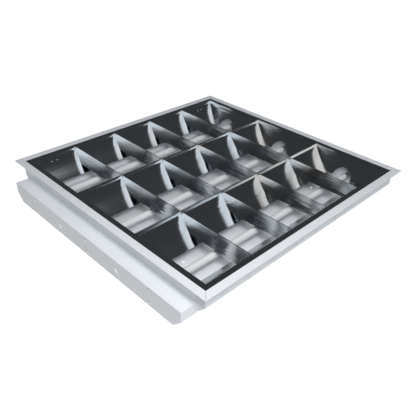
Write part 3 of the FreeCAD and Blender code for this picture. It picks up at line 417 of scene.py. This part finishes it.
def rolled_mirror_group():
    """Bright rolled sheet: lines along the rolling way, waves, prints, dust and a warm cast."""
    group, takes, gives, where = effect(
        "rolled_mirror", {"Tone": "Color", "Warm": "Color", "Haze": "Float", "Rolling": "Vector"})
    lines = noise(group, where, 1600.0, 3.0, takes["Rolling"])
    waves = noise(group, where, 26.0, 3.0, takes["Rolling"])
    cloud = noise(group, where, 6.5, 3.0)
    touched = span(group, noise(group, where, 21.0, 2.0), (0.55, 0.68), (0.0, 1.0))
    ridges = span(group, noise(group, where, 230.0, 4.0), (0.45, 0.62), (0.0, 1.0))
    prints = maths(group, "MULTIPLY", touched, ridges)
    specks = span(group, noise(group, where, 700.0, 2.0), (0.70, 0.78), (0.0, 1.0))
    warm = span(group, cloud, (0.50, 0.66), (0.0, 0.45))
    tone = tinted(group, warm, takes["Tone"], takes["Warm"])
    dull = maths(group, "MULTIPLY", span(group, lines, (0.3, 0.7), (0.93, 1.0)),
                 span(group, prints, (0.0, 1.0), (1.0, 0.90)))
    feed(group, tinted(group, 1.0, tone, dull, "MULTIPLY"), gives["Tone"])
    rough = maths(group, "MULTIPLY_ADD", lines, 0.05, takes["Haze"])
    rough = maths(group, "MULTIPLY_ADD", prints, 0.015, rough)
    feed(group, maths(group, "MULTIPLY_ADD", specks, 0.08, rough), gives["Roughness"])
    streaks = noise(group, where, 170.0, 1.0, takes["Rolling"])
    relief = maths(group, "MULTIPLY_ADD", streaks, 0.34, waves)
    feed(group, maths(group, "MULTIPLY_ADD", lines, 0.004, relief), gives["Height"])
    return group


rolled_mirror = rolled_mirror_group()
mirrors = {}
for way, stretch in rolled_along.items():
    for place, joint in {"inner": 0.0, "rim": mitre_width}.items():
        mirrors[place, way] = finish(f"mirror_{place}_{way}", rolled_mirror,
                                     {"Tone": mirror_tone, "Warm": mirror_warm,
                                      "Haze": mirror_haze, "Rolling": stretch},
                                     {"Metallic": 1.0}, mirror_relief, mirror_depth, joint)
dress(mirrors["rim", "x"], "side_reflector_left", "side_reflector_right")
dress(mirrors["rim", "y"], "end_panel_front", "end_panel_back")
dress(mirrors["inner", "x"], "divider_left", "divider_right")
dress(mirrors["inner", "y"], *[f"cross_blade_{row}_{lane}" for row in rows for lane in lanes])

# ---------------------------------------------------------------- blade tabs
# Each row of blades ends in a tab that comes up through a slot in the rim of the side mirror and is
# folded flat on it. The bend leaves the tab end bright. Cut from the blade's own sheet.
tab_long, tab_wide, tab_thick = 0.0042, 0.0016, 0.00035
tab_inset = 0.0022
tab_edge = 0.5 * tab_thick
tab_skew, middle_row = 0.12, 2.5


def block(size, turn=(0.0, 0.0, 0.0), at=(0.0, 0.0, 0.0)):
    """A box about the origin, then turned and moved."""
    start_clean()
    bpy.ops.mesh.primitive_cube_add(size=1)
    piece = bpy.context.object
    piece.scale = size
    settle(piece, turn, at)
    return piece


tab = block((tab_wide, tab_long, tab_thick), at=(0, 0, tab_thick / 2))
round_top(tab, tab_edge, 3)
rim_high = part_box("side_reflector_left")[1]
tab_places = []
for row in rows:
    blade_low, blade_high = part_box(f"cross_blade_{row}_3")
    for side in (-1, 1):
        tab_places.append(((0, 0, tab_skew * side * (row - middle_row)),
                           ((blade_low.x + blade_high.x) / 2,
                            side * (blade_high.y + tab_inset), rim_high.z)))
together("blade_tabs", copies(tab, tab_places), mirrors["inner", "x"], "louvre")

# ---------------------------------------------------------------- mirror rivets
# Two aluminium blind rivets near each end of both side mirrors hold the strips that tie them to the
# end mirrors. Domed heads with the broken mandrel in a small dimple.
rivet_radius, rivet_rise = 0.0017, 0.0008
rivet_edge, rivet_wall, rivet_dimple = 0.85 * rivet_rise, 0.25 * rivet_radius, 0.4 * rivet_rise
rivet_along = (0.2165, 0.2295)
rivet_height, rivet_line = 0.0615, 0.20
rivet_tone = (0.80, 0.81, 0.82, 1.0)
rivet_cast = (0.70, 0.71, 0.74, 1.0)


def push(depth):
    """Extrude what is selected up or down."""
    bpy.ops.mesh.extrude_region_move(TRANSFORM_OT_translate={"value": (0, 0, depth)})


def turned_metal_group():
    """Plated or bright metal: blotches of the bath, fine marks, and scratches."""
    group, takes, gives, where = effect(
        "turned_metal", {"Tone": "Color", "Cast": "Color", "Gloss": "Float", "Marks": "Vector"})
    blotch = noise(group, where, 300.0, 3.0)
    marks = noise(group, where, 2600.0, 3.0, takes["Marks"])
    lined = noise(group, where, 900.0, 6.0, (1.0, 0.2, 1.0))
    scratch = span(group, lined, (0.62, 0.70), (0.0, 1.0))
    cast = span(group, blotch, (0.42, 0.62), (0.0, 0.8))
    tone = tinted(group, cast, takes["Tone"], takes["Cast"])
    worn = maths(group, "MULTIPLY", span(group, marks, (0.3, 0.7), (0.86, 1.0)),
                 span(group, scratch, (0.0, 1.0), (1.0, 1.12)))
    feed(group, tinted(group, 1.0, tone, worn, "MULTIPLY"), gives["Tone"])
    rough = maths(group, "MULTIPLY_ADD", marks, 0.18, takes["Gloss"])
    feed(group, maths(group, "MULTIPLY_ADD", blotch, 0.10, rough), gives["Roughness"])
    feed(group, maths(group, "MULTIPLY_ADD", scratch, -0.6, marks), gives["Height"])
    return group


turned_metal = turned_metal_group()
rivet_metal = finish("rivet_metal", turned_metal,
                     {"Tone": rivet_tone, "Cast": rivet_cast, "Gloss": 0.16,
                      "Marks": (1.0, 1.0, 0.2)}, {"Metallic": 1.0}, bump=0.3, depth=0.00004)
rivet = disc(rivet_radius, rivet_rise)
round_top(rivet, rivet_edge, 5)
flat_end(rivet, 1)
bpy.ops.mesh.inset(thickness=rivet_wall)
push(-rivet_dimple)
bpy.ops.object.mode_set(mode="OBJECT")
rivet_places = []
for side, label in ((1, "left"), (-1, "right")):
    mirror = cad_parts[f"side_reflector_{label}"]
    for along in rivet_along:
        for end in (-1, 1):
            start = (end * along, side * rivet_line, rivet_height)
            _, spot, normal, _ = mirror.ray_cast(start, (0, side, 0))
            if normal.y * side > 0:
                normal.negate()
            turn = normal.to_track_quat("Z", "Y").to_euler()
            rivet_places.append((turn, spot))
together("mirror_rivets", copies(rivet, rivet_places), rivet_metal, "louvre")

# ---------------------------------------------------------------- cover screws
# Six pan-head machine screws with a cross recess hold the gear box cover, one above the other on
# each lamp line. Steel, zinc plated and passivated blue, with a faint yellow cast.
head_radius, head_rise = 0.0032, 0.0016
shank_radius, shank_reach = 0.0015, 0.005
recess_wide, recess_deep = 0.0036, 0.0010
dome_share, tip_share, arm_share, arm_taper = 0.72, 0.3, 0.26, 0.55
head_points = 40
screw_seed, widest_turn = 7, 1.5
zinc_tone = (0.74, 0.75, 0.77, 1.0)
zinc_cast = (0.72, 0.71, 0.62, 1.0)


def carve(piece, bit):
    """Cut the bit out of the piece."""
    start_clean()
    bpy.context.view_layer.objects.active = piece
    cut = piece.modifiers.new("carve", "BOOLEAN")
    cut.operation = "DIFFERENCE"
    cut.object = bit
    bpy.ops.object.modifier_apply(modifier="carve")
    bpy.data.objects.remove(bit)


def pan_head(head, rise, shank, reach, recess):
    """A screw that points down, with a cross recess in its domed head."""
    screw = disc(head, rise, head_points)
    flat_end(screw, -1)
    bpy.ops.mesh.inset(thickness=head - shank)
    push(-reach)
    bpy.ops.mesh.bevel(offset=tip_share * shank, segments=1)
    bpy.ops.object.mode_set(mode="OBJECT")
    round_top(screw, dome_share * rise, 5)
    for turn in (0, math.pi / 2):
        bit = block((recess, arm_share * recess, 2 * recess_deep), (0, 0, turn), (0, 0, rise))
        flat_end(bit, -1)
        bpy.ops.transform.resize(value=(arm_taper, arm_taper, 1))
        bpy.ops.object.mode_set(mode="OBJECT")
        carve(screw, bit)
    return screw


zinc = finish("zinc_plate", turned_metal,
              {"Tone": zinc_tone, "Cast": zinc_cast, "Gloss": 0.22, "Marks": (1.0, 1.0, 1.0)},
              {"Metallic": 1.0}, bump=0.35, depth=0.00003)
cover_low, cover_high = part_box("cover_screws")
outward = Matrix.Rotation(-math.pi / 2, 4, "Y")
turns = random.Random(screw_seed)
screw_places = []
for lane in lanes:
    low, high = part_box(f"lampholder_front_{lane}")
    lane_line = (low.y + high.y) / 2
    for height in (cover_low.z + head_radius, cover_high.z - head_radius):
        turn = outward @ Matrix.Rotation(turns.uniform(0, widest_turn), 4, "Z")
        screw_places.append((turn.to_euler(), (cover_low.x + head_rise, lane_line, height)))
cover_screw = pan_head(head_radius, head_rise, shank_radius, shank_reach, recess_wide)
cover_screws = together("cover_screws_cross", copies(cover_screw, screw_places), zinc,
                        "housing")
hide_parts("cover_screws")

# ---------------------------------------------------------------- blanking plugs
# Two snap-in plugs close the spare knock-outs of the cover. Moulded white plastic: a low head with
# a rounded edge and a dished middle, and a hollow stem that tapers at its end.
plug_radius, plug_rise, plug_points = 0.0055, 0.0012, 48
plug_edge, plug_dish = 0.7 * plug_rise, 0.3 * plug_rise
plug_rim, plug_slope = 0.22 * plug_radius, 0.06 * plug_radius
stem_radius, stem_reach = 0.0039, 0.0028
stem_lead, stem_taper = 0.3, 0.88
stem_wall, stem_bore = 0.25 * stem_radius, 0.8 * stem_reach
plastic_white = (0.86, 0.87, 0.88, 1.0)
plastic_aged = (0.84, 0.83, 0.77, 1.0)


def moulded_plastic_group():
    """Moulded plastic: fine eroded texture, flow marks, slight ageing and rubbed dust."""
    group, takes, gives, where = effect(
        "moulded_plastic", {"Tone": "Color", "Aged": "Color", "Gloss": "Float"})
    grain = noise(group, where, 3200.0, 2.0)
    flow = noise(group, where, 120.0, 3.0, (1.0, 1.0, 0.25))
    age = span(group, noise(group, where, 28.0, 3.0), (0.40, 0.72), (0.0, 0.6))
    rub = span(group, noise(group, where, 240.0, 5.0), (0.60, 0.72), (0.0, 1.0))
    tone = tinted(group, age, takes["Tone"], takes["Aged"])
    shade = maths(group, "MULTIPLY", span(group, flow, (0.3, 0.7), (0.95, 1.0)),
                  span(group, rub, (0.0, 1.0), (1.0, 0.93)))
    feed(group, tinted(group, 1.0, tone, shade, "MULTIPLY"), gives["Tone"])
    rough = maths(group, "MULTIPLY_ADD", rub, 0.12, takes["Gloss"])
    feed(group, maths(group, "MULTIPLY_ADD", flow, 0.10, rough), gives["Roughness"])
    feed(group, maths(group, "MULTIPLY_ADD", flow, 0.4, grain), gives["Height"])
    return group


moulded_plastic = moulded_plastic_group()
white_plastic = finish("white_plastic", moulded_plastic,
                       {"Tone": plastic_white, "Aged": plastic_aged, "Gloss": 0.34},
                       bump=0.3, depth=0.00003)
plug = disc(plug_radius, plug_rise, plug_points)
flat_end(plug, -1)
bpy.ops.mesh.inset(thickness=plug_radius - stem_radius)
for part in (1 - stem_lead, stem_lead):
    push(-part * stem_reach)
bpy.ops.transform.resize(value=(stem_taper, stem_taper, 1))
bpy.ops.mesh.inset(thickness=stem_wall)
push(stem_bore)
bpy.ops.object.mode_set(mode="OBJECT")
round_top(plug, plug_edge, 5)
flat_end(plug, 1)
bpy.ops.mesh.inset(thickness=plug_rim)
bpy.ops.mesh.inset(thickness=plug_slope)
bpy.ops.transform.translate(value=(0, 0, -plug_dish))
bpy.ops.object.mode_set(mode="OBJECT")
plug_low, plug_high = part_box("blanking_plugs")
plug_height = (plug_low.z + plug_high.z) / 2
plug_places = [((0, -math.pi / 2, 0),
                (plug_low.x + plug_rise, side * (plug_high.y - plug_radius), plug_height))
               for side in (-1, 1)]
blanking_plugs = together("blanking_plugs_domed", copies(plug, plug_places), white_plastic,
                          "housing")
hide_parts("blanking_plugs")

# ---------------------------------------------------------------- lampholders
# Six push-through G5 holders and the rotor in each: white moulded plastic, glossier where the
# rotor turns. They stand in the pan and show as half discs through the arches of the end mirrors.
rotor_white = (0.80, 0.81, 0.81, 1.0)
rotor_aged = (0.76, 0.76, 0.72, 1.0)

rotor_plastic = finish("rotor_plastic", moulded_plastic,
                       {"Tone": rotor_white, "Aged": rotor_aged, "Gloss": 0.24},
                       bump=0.25, depth=0.00003)
for lane in lanes:
    dress(white_plastic, f"lampholder_front_{lane}", f"lampholder_back_{lane}")
    dress(rotor_plastic, f"lamp_rotor_front_{lane}", f"lamp_rotor_back_{lane}")

# ---------------------------------------------------------------- lampholder collars
# An open ring on the face of each holder guides the end of the lamp and leaves the way out above it
# free. Moulded with the holder, with rounded edges.
collar_inner, collar_outer, collar_rise = 0.0087, 0.0103, 0.0011
collar_half_gap = math.radians(55)
collar_steps, collar_edge, collar_sharp = 40, 0.0002, 0.6

start_clean()
bpy.ops.mesh.primitive_plane_add(size=1)
collar = bpy.context.object
collar.scale = (collar_outer - collar_inner, collar_rise, 1.0)
collar_mean = (collar_outer + collar_inner) / 2
settle(collar, (math.pi / 2, 0, collar_half_gap),
       (collar_mean * math.cos(collar_half_gap), collar_mean * math.sin(collar_half_gap),
        collar_rise / 2))
pick(collar, "FACE", lambda face: True)
bpy.ops.mesh.spin(steps=collar_steps, angle=2 * (math.pi - collar_half_gap), center=(0, 0, 0),
                  axis=(0, 0, 1))
bpy.ops.mesh.select_all(action="SELECT")
bpy.ops.mesh.normals_make_consistent(inside=False)
pick(collar, "EDGE", lambda edge: edge.is_manifold and edge.calc_face_angle() > collar_sharp)
bpy.ops.mesh.bevel(offset=collar_edge, segments=2)
bpy.ops.object.mode_set(mode="OBJECT")
collar_places = []
for lane in lanes:
    tube_low, tube_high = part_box(f"lamp_tube_{lane}")
    middle = (tube_low + tube_high) / 2
    for end, side in (("front", -1), ("back", 1)):
        low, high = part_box(f"lampholder_{end}_{lane}")
        turn = Matrix.Rotation(-side * math.pi / 2, 4, "Y")
        if side < 0:
            turn = turn @ Matrix.Rotation(math.pi, 4, "Z")
        face = high.x if side < 0 else low.x
        collar_places.append((turn.to_euler(), (face, middle.y, middle.z)))
together("lampholder_collars", copies(collar, collar_places), white_plastic, "housing")

# ---------------------------------------------------------------- lamps
# Three 16 mm fluorescent tubes: glass with a white powder inside, greyed near the cathodes, in
# satin aluminium caps with a rolled crimp and two tinned brass pins.
powder_white = (0.72, 0.74, 0.76, 1.0)
powder_grey = (0.42, 0.40, 0.38, 1.0)
grey_from, grey_to = 0.236, 0.262
cap_tone = (0.78, 0.79, 0.80, 1.0)
crimp_at = 0.2655
pin_tone = (0.76, 0.70, 0.55, 1.0)
pin_cast = (0.70, 0.70, 0.70, 1.0)


def lamp_powder_group():
    """Powder seen through glass: faint mottling, greyed towards both cathodes."""
    group, takes, gives, where = effect(
        "lamp_powder", {"Tone": "Color", "Start": "Float", "End": "Float"})
    axes = axes_of(group, where)
    reach = maths(group, "ABSOLUTE", axes["X"])
    mottle = noise(group, where, 160.0, 4.0)
    ragged = maths(group, "MULTIPLY_ADD", mottle, 0.008, reach)
    grey = span(group, ragged, (takes["Start"], takes["End"]), (0.0, 0.30))
    tone = tinted(group, grey, takes["Tone"], powder_grey)
    feed(group, tinted(group, 1.0, tone, span(group, mottle, (0.3, 0.7), (0.975, 1.0)), "MULTIPLY"),
         gives["Tone"])
    wipe = noise(group, where, 60.0, 4.0, (0.3, 1.0, 1.0))
    feed(group, span(group, wipe, (0.45, 0.70), (0.40, 0.56)), gives["Roughness"])
    feed(group, noise(group, where, 900.0, 2.0), gives["Height"])
    return group


def end_cap_group():
    """Drawn aluminium: fine marks round the cap, and a rolled crimp near its open edge that is
    dented in relief and darkened with painted shade.
    """
    group, takes, gives, where = effect("end_cap", {"Tone": "Color", "Crimp": "Float"})
    axes = axes_of(group, where)
    reach = maths(group, "ABSOLUTE", axes["X"])
    off = maths(group, "ABSOLUTE", maths(group, "SUBTRACT", reach, takes["Crimp"]))
    crimp_dent_and_shade = span(group, off, (0.0003, 0.0008), (1.0, 0.0))
    marks = noise(group, where, 2200.0, 3.0, (1.0, 0.08, 0.08))
    # The crimp's groove darkens the colour here: painted shade where the groove dips, on top of its
    # real dent in the relief.
    shade = maths(group, "MULTIPLY", span(group, marks, (0.3, 0.7), (0.86, 1.0)),
                  span(group, crimp_dent_and_shade, (0.0, 1.0), (1.0, 0.72)))
    feed(group, tinted(group, 1.0, takes["Tone"], shade, "MULTIPLY"), gives["Tone"])
    feed(group, span(group, marks, (0.3, 0.7), (0.28, 0.42)), gives["Roughness"])
    feed(group, maths(group, "MULTIPLY_ADD", crimp_dent_and_shade, -4.0, marks), gives["Height"])
    return group


tube_glass = finish("tube_glass", lamp_powder_group(),
                    {"Tone": powder_white, "Start": grey_from, "End": grey_to},
                    {"Specular IOR Level": 0.25}, bump=0.08, depth=0.00003)
cap_metal = finish("cap_metal", end_cap_group(), {"Tone": cap_tone, "Crimp": crimp_at},
                   {"Metallic": 1.0}, bump=0.35, depth=0.00003)
pin_metal = finish("pin_metal", turned_metal,
                   {"Tone": pin_tone, "Cast": pin_cast, "Gloss": 0.2, "Marks": (1.0, 0.1, 0.1)},
                   {"Metallic": 1.0}, bump=0.3, depth=0.00002)
for lane in lanes:
    dress(tube_glass, f"lamp_tube_{lane}")
    dress(cap_metal, f"lamp_caps_{lane}")
    dress(pin_metal, f"lamp_pins_{lane}")

# ---------------------------------------------------------------- cap insulators
# A thin fibre disc closes the end of each lamp cap round the pins. Tan pressed paper, glued in.
fibre_radius, fibre_rise = 0.0058, 0.00014
fibre_edge = 0.5 * fibre_rise
fibre_tone = (0.52, 0.42, 0.30, 1.0)
fibre_aged = (0.42, 0.33, 0.23, 1.0)

fibre_paper = finish("fibre_paper", moulded_plastic,
                     {"Tone": fibre_tone, "Aged": fibre_aged, "Gloss": 0.62},
                     bump=0.5, depth=0.00003)
for lane in lanes:
    low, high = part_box(f"lamp_caps_{lane}")
    middle = (low + high) / 2
    places = [((0, side * math.pi / 2, 0), (end, middle.y, middle.z))
              for side, end in ((-1, low.x), (1, high.x))]
    fibre = disc(fibre_radius, fibre_rise)
    round_top(fibre, fibre_edge, 2)
    together(f"cap_insulators_{lane}", copies(fibre, places), fibre_paper, f"lamp_{lane}")

# ---------------------------------------------------------------- ballast
# Electronic ballast in a folded galvanised case: spangled zinc with two pressed beads along its
# roof. It stands in the gear box, held by a pan-head screw through each ear.
zinc_sheet = (0.63, 0.65, 0.67, 1.0)
bead_radius, bead_rise = 0.0024, 0.0006
bead_edge, bead_reach, bead_apart = 0.9 * bead_rise, 0.55, 0.006


def spangle_group():
    """Galvanised sheet: crystals of differing brightness, and handling stains."""
    group, takes, gives, where = effect("spangle", {"Tone": "Color", "Gloss": "Float"})
    crystals = group.nodes.new("ShaderNodeTexVoronoi")
    crystals.inputs["Scale"].default_value = 170.0
    feed(group, where, crystals.inputs["Vector"])
    facet = axes_of(group, crystals.outputs["Color"])
    stain = noise(group, where, 40.0, 4.0)
    shade = maths(group, "MULTIPLY", span(group, facet["X"], (0.0, 1.0), (0.80, 1.0)),
                  span(group, stain, (0.35, 0.7), (1.0, 0.88)))
    feed(group, tinted(group, 1.0, takes["Tone"], shade, "MULTIPLY"), gives["Tone"])
    rough = maths(group, "MULTIPLY_ADD", facet["Y"], 0.16, takes["Gloss"])
    feed(group, maths(group, "MULTIPLY_ADD", stain, 0.10, rough), gives["Roughness"])
    feed(group, maths(group, "MULTIPLY_ADD", stain, 0.5, facet["X"]), gives["Height"])
    return group


galvanised = finish("galvanised", spangle_group(), {"Tone": zinc_sheet, "Gloss": 0.26},
                    {"Metallic": 1.0}, bump=0.25, depth=0.00003)
dress(galvanised, "ballast_case")
case_low, case_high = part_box("ballast_case")
case_middle = (case_low + case_high) / 2
bead = block((2 * bead_radius, bead_reach * (case_high.y - case_low.y), 2 * bead_rise))
round_top(bead, bead_edge, 4)
bead_places = [((0, 0, 0), (case_middle.x + side * bead_apart, case_middle.y, case_high.z))
               for side in (-1, 1)]
together("ballast_beads", copies(bead, bead_places), galvanised, "housing")

# ---------------------------------------------------------------- ballast screws
# The same pan-head screw, shorter, through each ear of the ballast into the roof sheet. Zinc
# plated like the cover screws, each at a turn of its own.
first_turn, second_turn = 0.4, 1.4

screw_low, screw_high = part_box("ballast_screws")
under_head = screw_high.z - head_rise
screw_line = (screw_low.x + screw_high.x) / 2
ballast_screw = pan_head(head_radius, head_rise, shank_radius, under_head - screw_low.z,
                         recess_wide)
ballast_places = [
    ((0, 0, first_turn), (screw_line, screw_low.y + head_radius, under_head)),
    ((0, 0, second_turn), (screw_line, screw_high.y - head_radius, under_head))]
ballast_screws = together("ballast_screws_cross", copies(ballast_screw, ballast_places), zinc,
                          "housing")
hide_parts("ballast_screws")

# ---------------------------------------------------------------- earth screw
# A larger screw for the protective conductor, with a cross recess and a toothed lock washer under
# its head. Zinc plated, with a stronger yellow passivation.
earth_low, earth_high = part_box("earth_screw")
earth_radius = (earth_high.x - earth_low.x) / 2
earth_rise, washer_rise = 0.0026, 0.0006
earth_head, earth_shank, earth_recess = 0.9 * earth_radius, 0.002, 0.0042
washer_faces, tooth_degrees, tooth_depth = 24, 15, 0.94
yellow_tone = (0.74, 0.66, 0.44, 1.0)
yellow_cast = (0.70, 0.55, 0.42, 1.0)


def between_teeth(face, flat=0.1):
    """Whether a face of the washer's edge is drawn in, which leaves teeth beside it."""
    angle = math.degrees(math.atan2(face.normal.y, face.normal.x))
    return abs(face.normal.z) < flat and round(angle / tooth_degrees) % 2 == 0


yellow_zinc = finish("yellow_zinc", turned_metal,
                     {"Tone": yellow_tone, "Cast": yellow_cast, "Gloss": 0.24,
                      "Marks": (1.0, 1.0, 1.0)}, {"Metallic": 1.0}, bump=0.35, depth=0.00003)
earth = pan_head(earth_head, earth_rise - washer_rise, earth_shank,
                 earth_high.z - earth_rise - earth_low.z + washer_rise, earth_recess)
washer = disc(earth_radius, washer_rise, washer_faces)
pick(washer, "FACE", between_teeth)
bpy.ops.transform.resize(value=(tooth_depth, tooth_depth, 1.0))
bpy.ops.object.mode_set(mode="OBJECT")
settle(washer, at=(0, 0, -washer_rise))
earth_middle = (earth_low + earth_high) / 2
earth_screw = together("earth_screw_washer", [earth, washer], yellow_zinc, "housing")
settle(earth_screw, at=(earth_middle.x, earth_middle.y, earth_high.z - earth_rise + washer_rise))
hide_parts("earth_screw")

# ---------------------------------------------------------------- ballast terminals
# A push-in terminal strip at each end of the ballast: a pale block with a row of wire entries and a
# small release slot behind each. Moulded plastic, with the edges broken.
strip_length, strip_edge, strip_margin = 0.014, 0.0005, 0.4
entry_radius, entry_deep, entry_at = 0.0009, 0.0018, -0.22 * strip_length
release_size, release_at = (0.0009, 0.00162, 0.00216), 0.2 * strip_length
entries_across, entry_points = 5, 20
strip_grey = (0.72, 0.74, 0.74, 1.0)
strip_aged = (0.70, 0.70, 0.64, 1.0)

terminal_plastic = finish("terminal_plastic", moulded_plastic,
                          {"Tone": strip_grey, "Aged": strip_aged, "Gloss": 0.38},
                          bump=0.3, depth=0.00003)
strip_low, strip_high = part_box("ballast_terminals")
strip_size = Vector((strip_high.x - strip_low.x, strip_length, strip_high.z - strip_low.z))
strip = block(strip_size, at=(0, 0, strip_size.z / 2))
round_top(strip, strip_edge, 2)
for number in range(entries_across):
    across = (number - (entries_across - 1) / 2) * strip_size.x / (entries_across + strip_margin)
    start_clean()
    bpy.ops.mesh.primitive_cylinder_add(vertices=entry_points, radius=entry_radius,
                                        depth=2 * entry_deep)
    entry = bpy.context.object
    settle(entry, at=(across, entry_at, strip_size.z))
    carve(strip, entry)
    carve(strip, block(release_size, at=(across, release_at, strip_size.z)))
strip_middle = (strip_low.x + strip_high.x) / 2
strip_places = [((0, 0, 0), (strip_middle, strip_low.y + strip_length / 2, strip_low.z)),
                ((0, 0, math.pi), (strip_middle, strip_high.y - strip_length / 2, strip_low.z))]
ballast_terminals = together("ballast_terminals_push_in", copies(strip, strip_places),
                             terminal_plastic, "housing")
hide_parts("ballast_terminals")

# ---------------------------------------------------------------- mains terminals
# Three-pole screw block for the mains: a moulded body with screw wells, and slotted brass clamp
# screws sunk in them.
dress(terminal_plastic, "mains_terminal_block")
clamp_low, clamp_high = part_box("terminal_screws")
clamp_radius = (clamp_high.x - clamp_low.x) / 2
clamp_length = clamp_high.z - clamp_low.z
clamp_edge = 0.15 * clamp_radius
clamp_slot = (3 * clamp_radius, 0.3 * clamp_radius, 0.8 * clamp_radius)
clamp_turn = 0.5

clamp = disc(clamp_radius, clamp_length)
round_top(clamp, clamp_edge, 2)
carve(clamp, block(clamp_slot, at=(0, 0, clamp_length)))
clamp_middle = (clamp_low + clamp_high) / 2
reach = (clamp_high.y - clamp_low.y) / 2 - clamp_radius
clamp_places = [((0, 0, clamp_turn * step),
                 (clamp_middle.x, clamp_middle.y + step * reach, clamp_low.z))
                for step in (-1, 0, 1)]
terminal_screws = together("terminal_screws_slotted", copies(clamp, clamp_places), pin_metal,
                           "housing")
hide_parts("terminal_screws")

# ---------------------------------------------------------------- cable grommet
# Black rubber bush that lines the mains inlet: matt, with a grey bloom and the faint line where
# its mould parted.
rubber_black = (0.035, 0.036, 0.038, 1.0)
rubber_bloom = (0.16, 0.16, 0.16, 1.0)


def rubber_group():
    """Rubber: grey bloom in patches, fine pores and a mould line along the middle."""
    group, takes, gives, where = effect("rubber", {"Tone": "Color", "Line": "Float"})
    axes = axes_of(group, where)
    off = maths(group, "ABSOLUTE", maths(group, "SUBTRACT", axes["X"], takes["Line"]))
    line = span(group, off, (0.0001, 0.0002), (1.0, 0.0))
    bloom = span(group, noise(group, where, 190.0, 4.0), (0.48, 0.70), (0.0, 0.5))
    pores = noise(group, where, 2400.0, 3.0)
    feed(group, tinted(group, bloom, takes["Tone"], rubber_bloom), gives["Tone"])
    feed(group, span(group, bloom, (0.0, 0.5), (0.55, 0.80)), gives["Roughness"])
    feed(group, maths(group, "MULTIPLY_ADD", line, 1.5, pores), gives["Height"])
    return group


grommet_low, grommet_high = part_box("cable_grommet")
rubber = finish("rubber", rubber_group(),
                {"Tone": rubber_black, "Line": (grommet_low.x + grommet_high.x) / 2},
                bump=0.4, depth=0.00004)
dress(rubber, "cable_grommet")

# ---------------------------------------------------------------- lamp wires
# Six single-core wires run under the wire cover to the far holders. Glossy insulation in three
# colours, two wires of each, with faint flow lines along it.
wire_colours = ((0.80, 0.80, 0.78, 1.0), (0.12, 0.22, 0.52, 1.0), (0.46, 0.26, 0.13, 1.0))
wires_low, wires_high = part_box("lamp_wires")


def insulation_group():
    """Wire insulation: its colour steps across the row of wires, with flow lines and scuffs."""
    group, takes, gives, where = effect(
        "insulation", {"First": "Color", "Second": "Color", "Third": "Color", "Left": "Float",
                       "Pair": "Float"})
    axes = axes_of(group, where)
    pair = maths(group, "DIVIDE", maths(group, "SUBTRACT", axes["Y"], takes["Left"]),
                 takes["Pair"])
    tone = tinted(group, maths(group, "GREATER_THAN", pair, 1.0), takes["First"], takes["Second"])
    tone = tinted(group, maths(group, "GREATER_THAN", pair, 2.0), tone, takes["Third"])
    flow = noise(group, where, 1500.0, 2.0, (0.05, 1.0, 1.0))
    scuff = span(group, noise(group, where, 90.0, 5.0), (0.55, 0.7), (0.0, 1.0))
    feed(group, tinted(group, 1.0, tone, span(group, flow, (0.3, 0.7), (0.90, 1.0)), "MULTIPLY"),
         gives["Tone"])
    feed(group, span(group, scuff, (0.0, 1.0), (0.32, 0.52)), gives["Roughness"])
    feed(group, flow, gives["Height"])
    return group


insulation = finish("insulation", insulation_group(),
                    {"First": wire_colours[0], "Second": wire_colours[1], "Third": wire_colours[2],
                     "Left": wires_low.y,
                     "Pair": (wires_high.y - wires_low.y) / len(wire_colours)},
                    bump=0.2, depth=0.00003)
dress(insulation, "lamp_wires")

# ---------------------------------------------------------------- louvre springs
# Four leaf springs in the neck steady the louvre: bright rolled strip, slightly blued, with fine
# rolling lines.
spring_tone = (0.60, 0.62, 0.66, 1.0)
spring_cast = (0.52, 0.56, 0.66, 1.0)

spring_steel = finish("spring_steel", turned_metal,
                      {"Tone": spring_tone, "Cast": spring_cast, "Gloss": 0.20,
                       "Marks": (0.08, 1.0, 1.0)}, {"Metallic": 1.0}, bump=0.35, depth=0.00003)
dress(spring_steel, "louvre_springs")
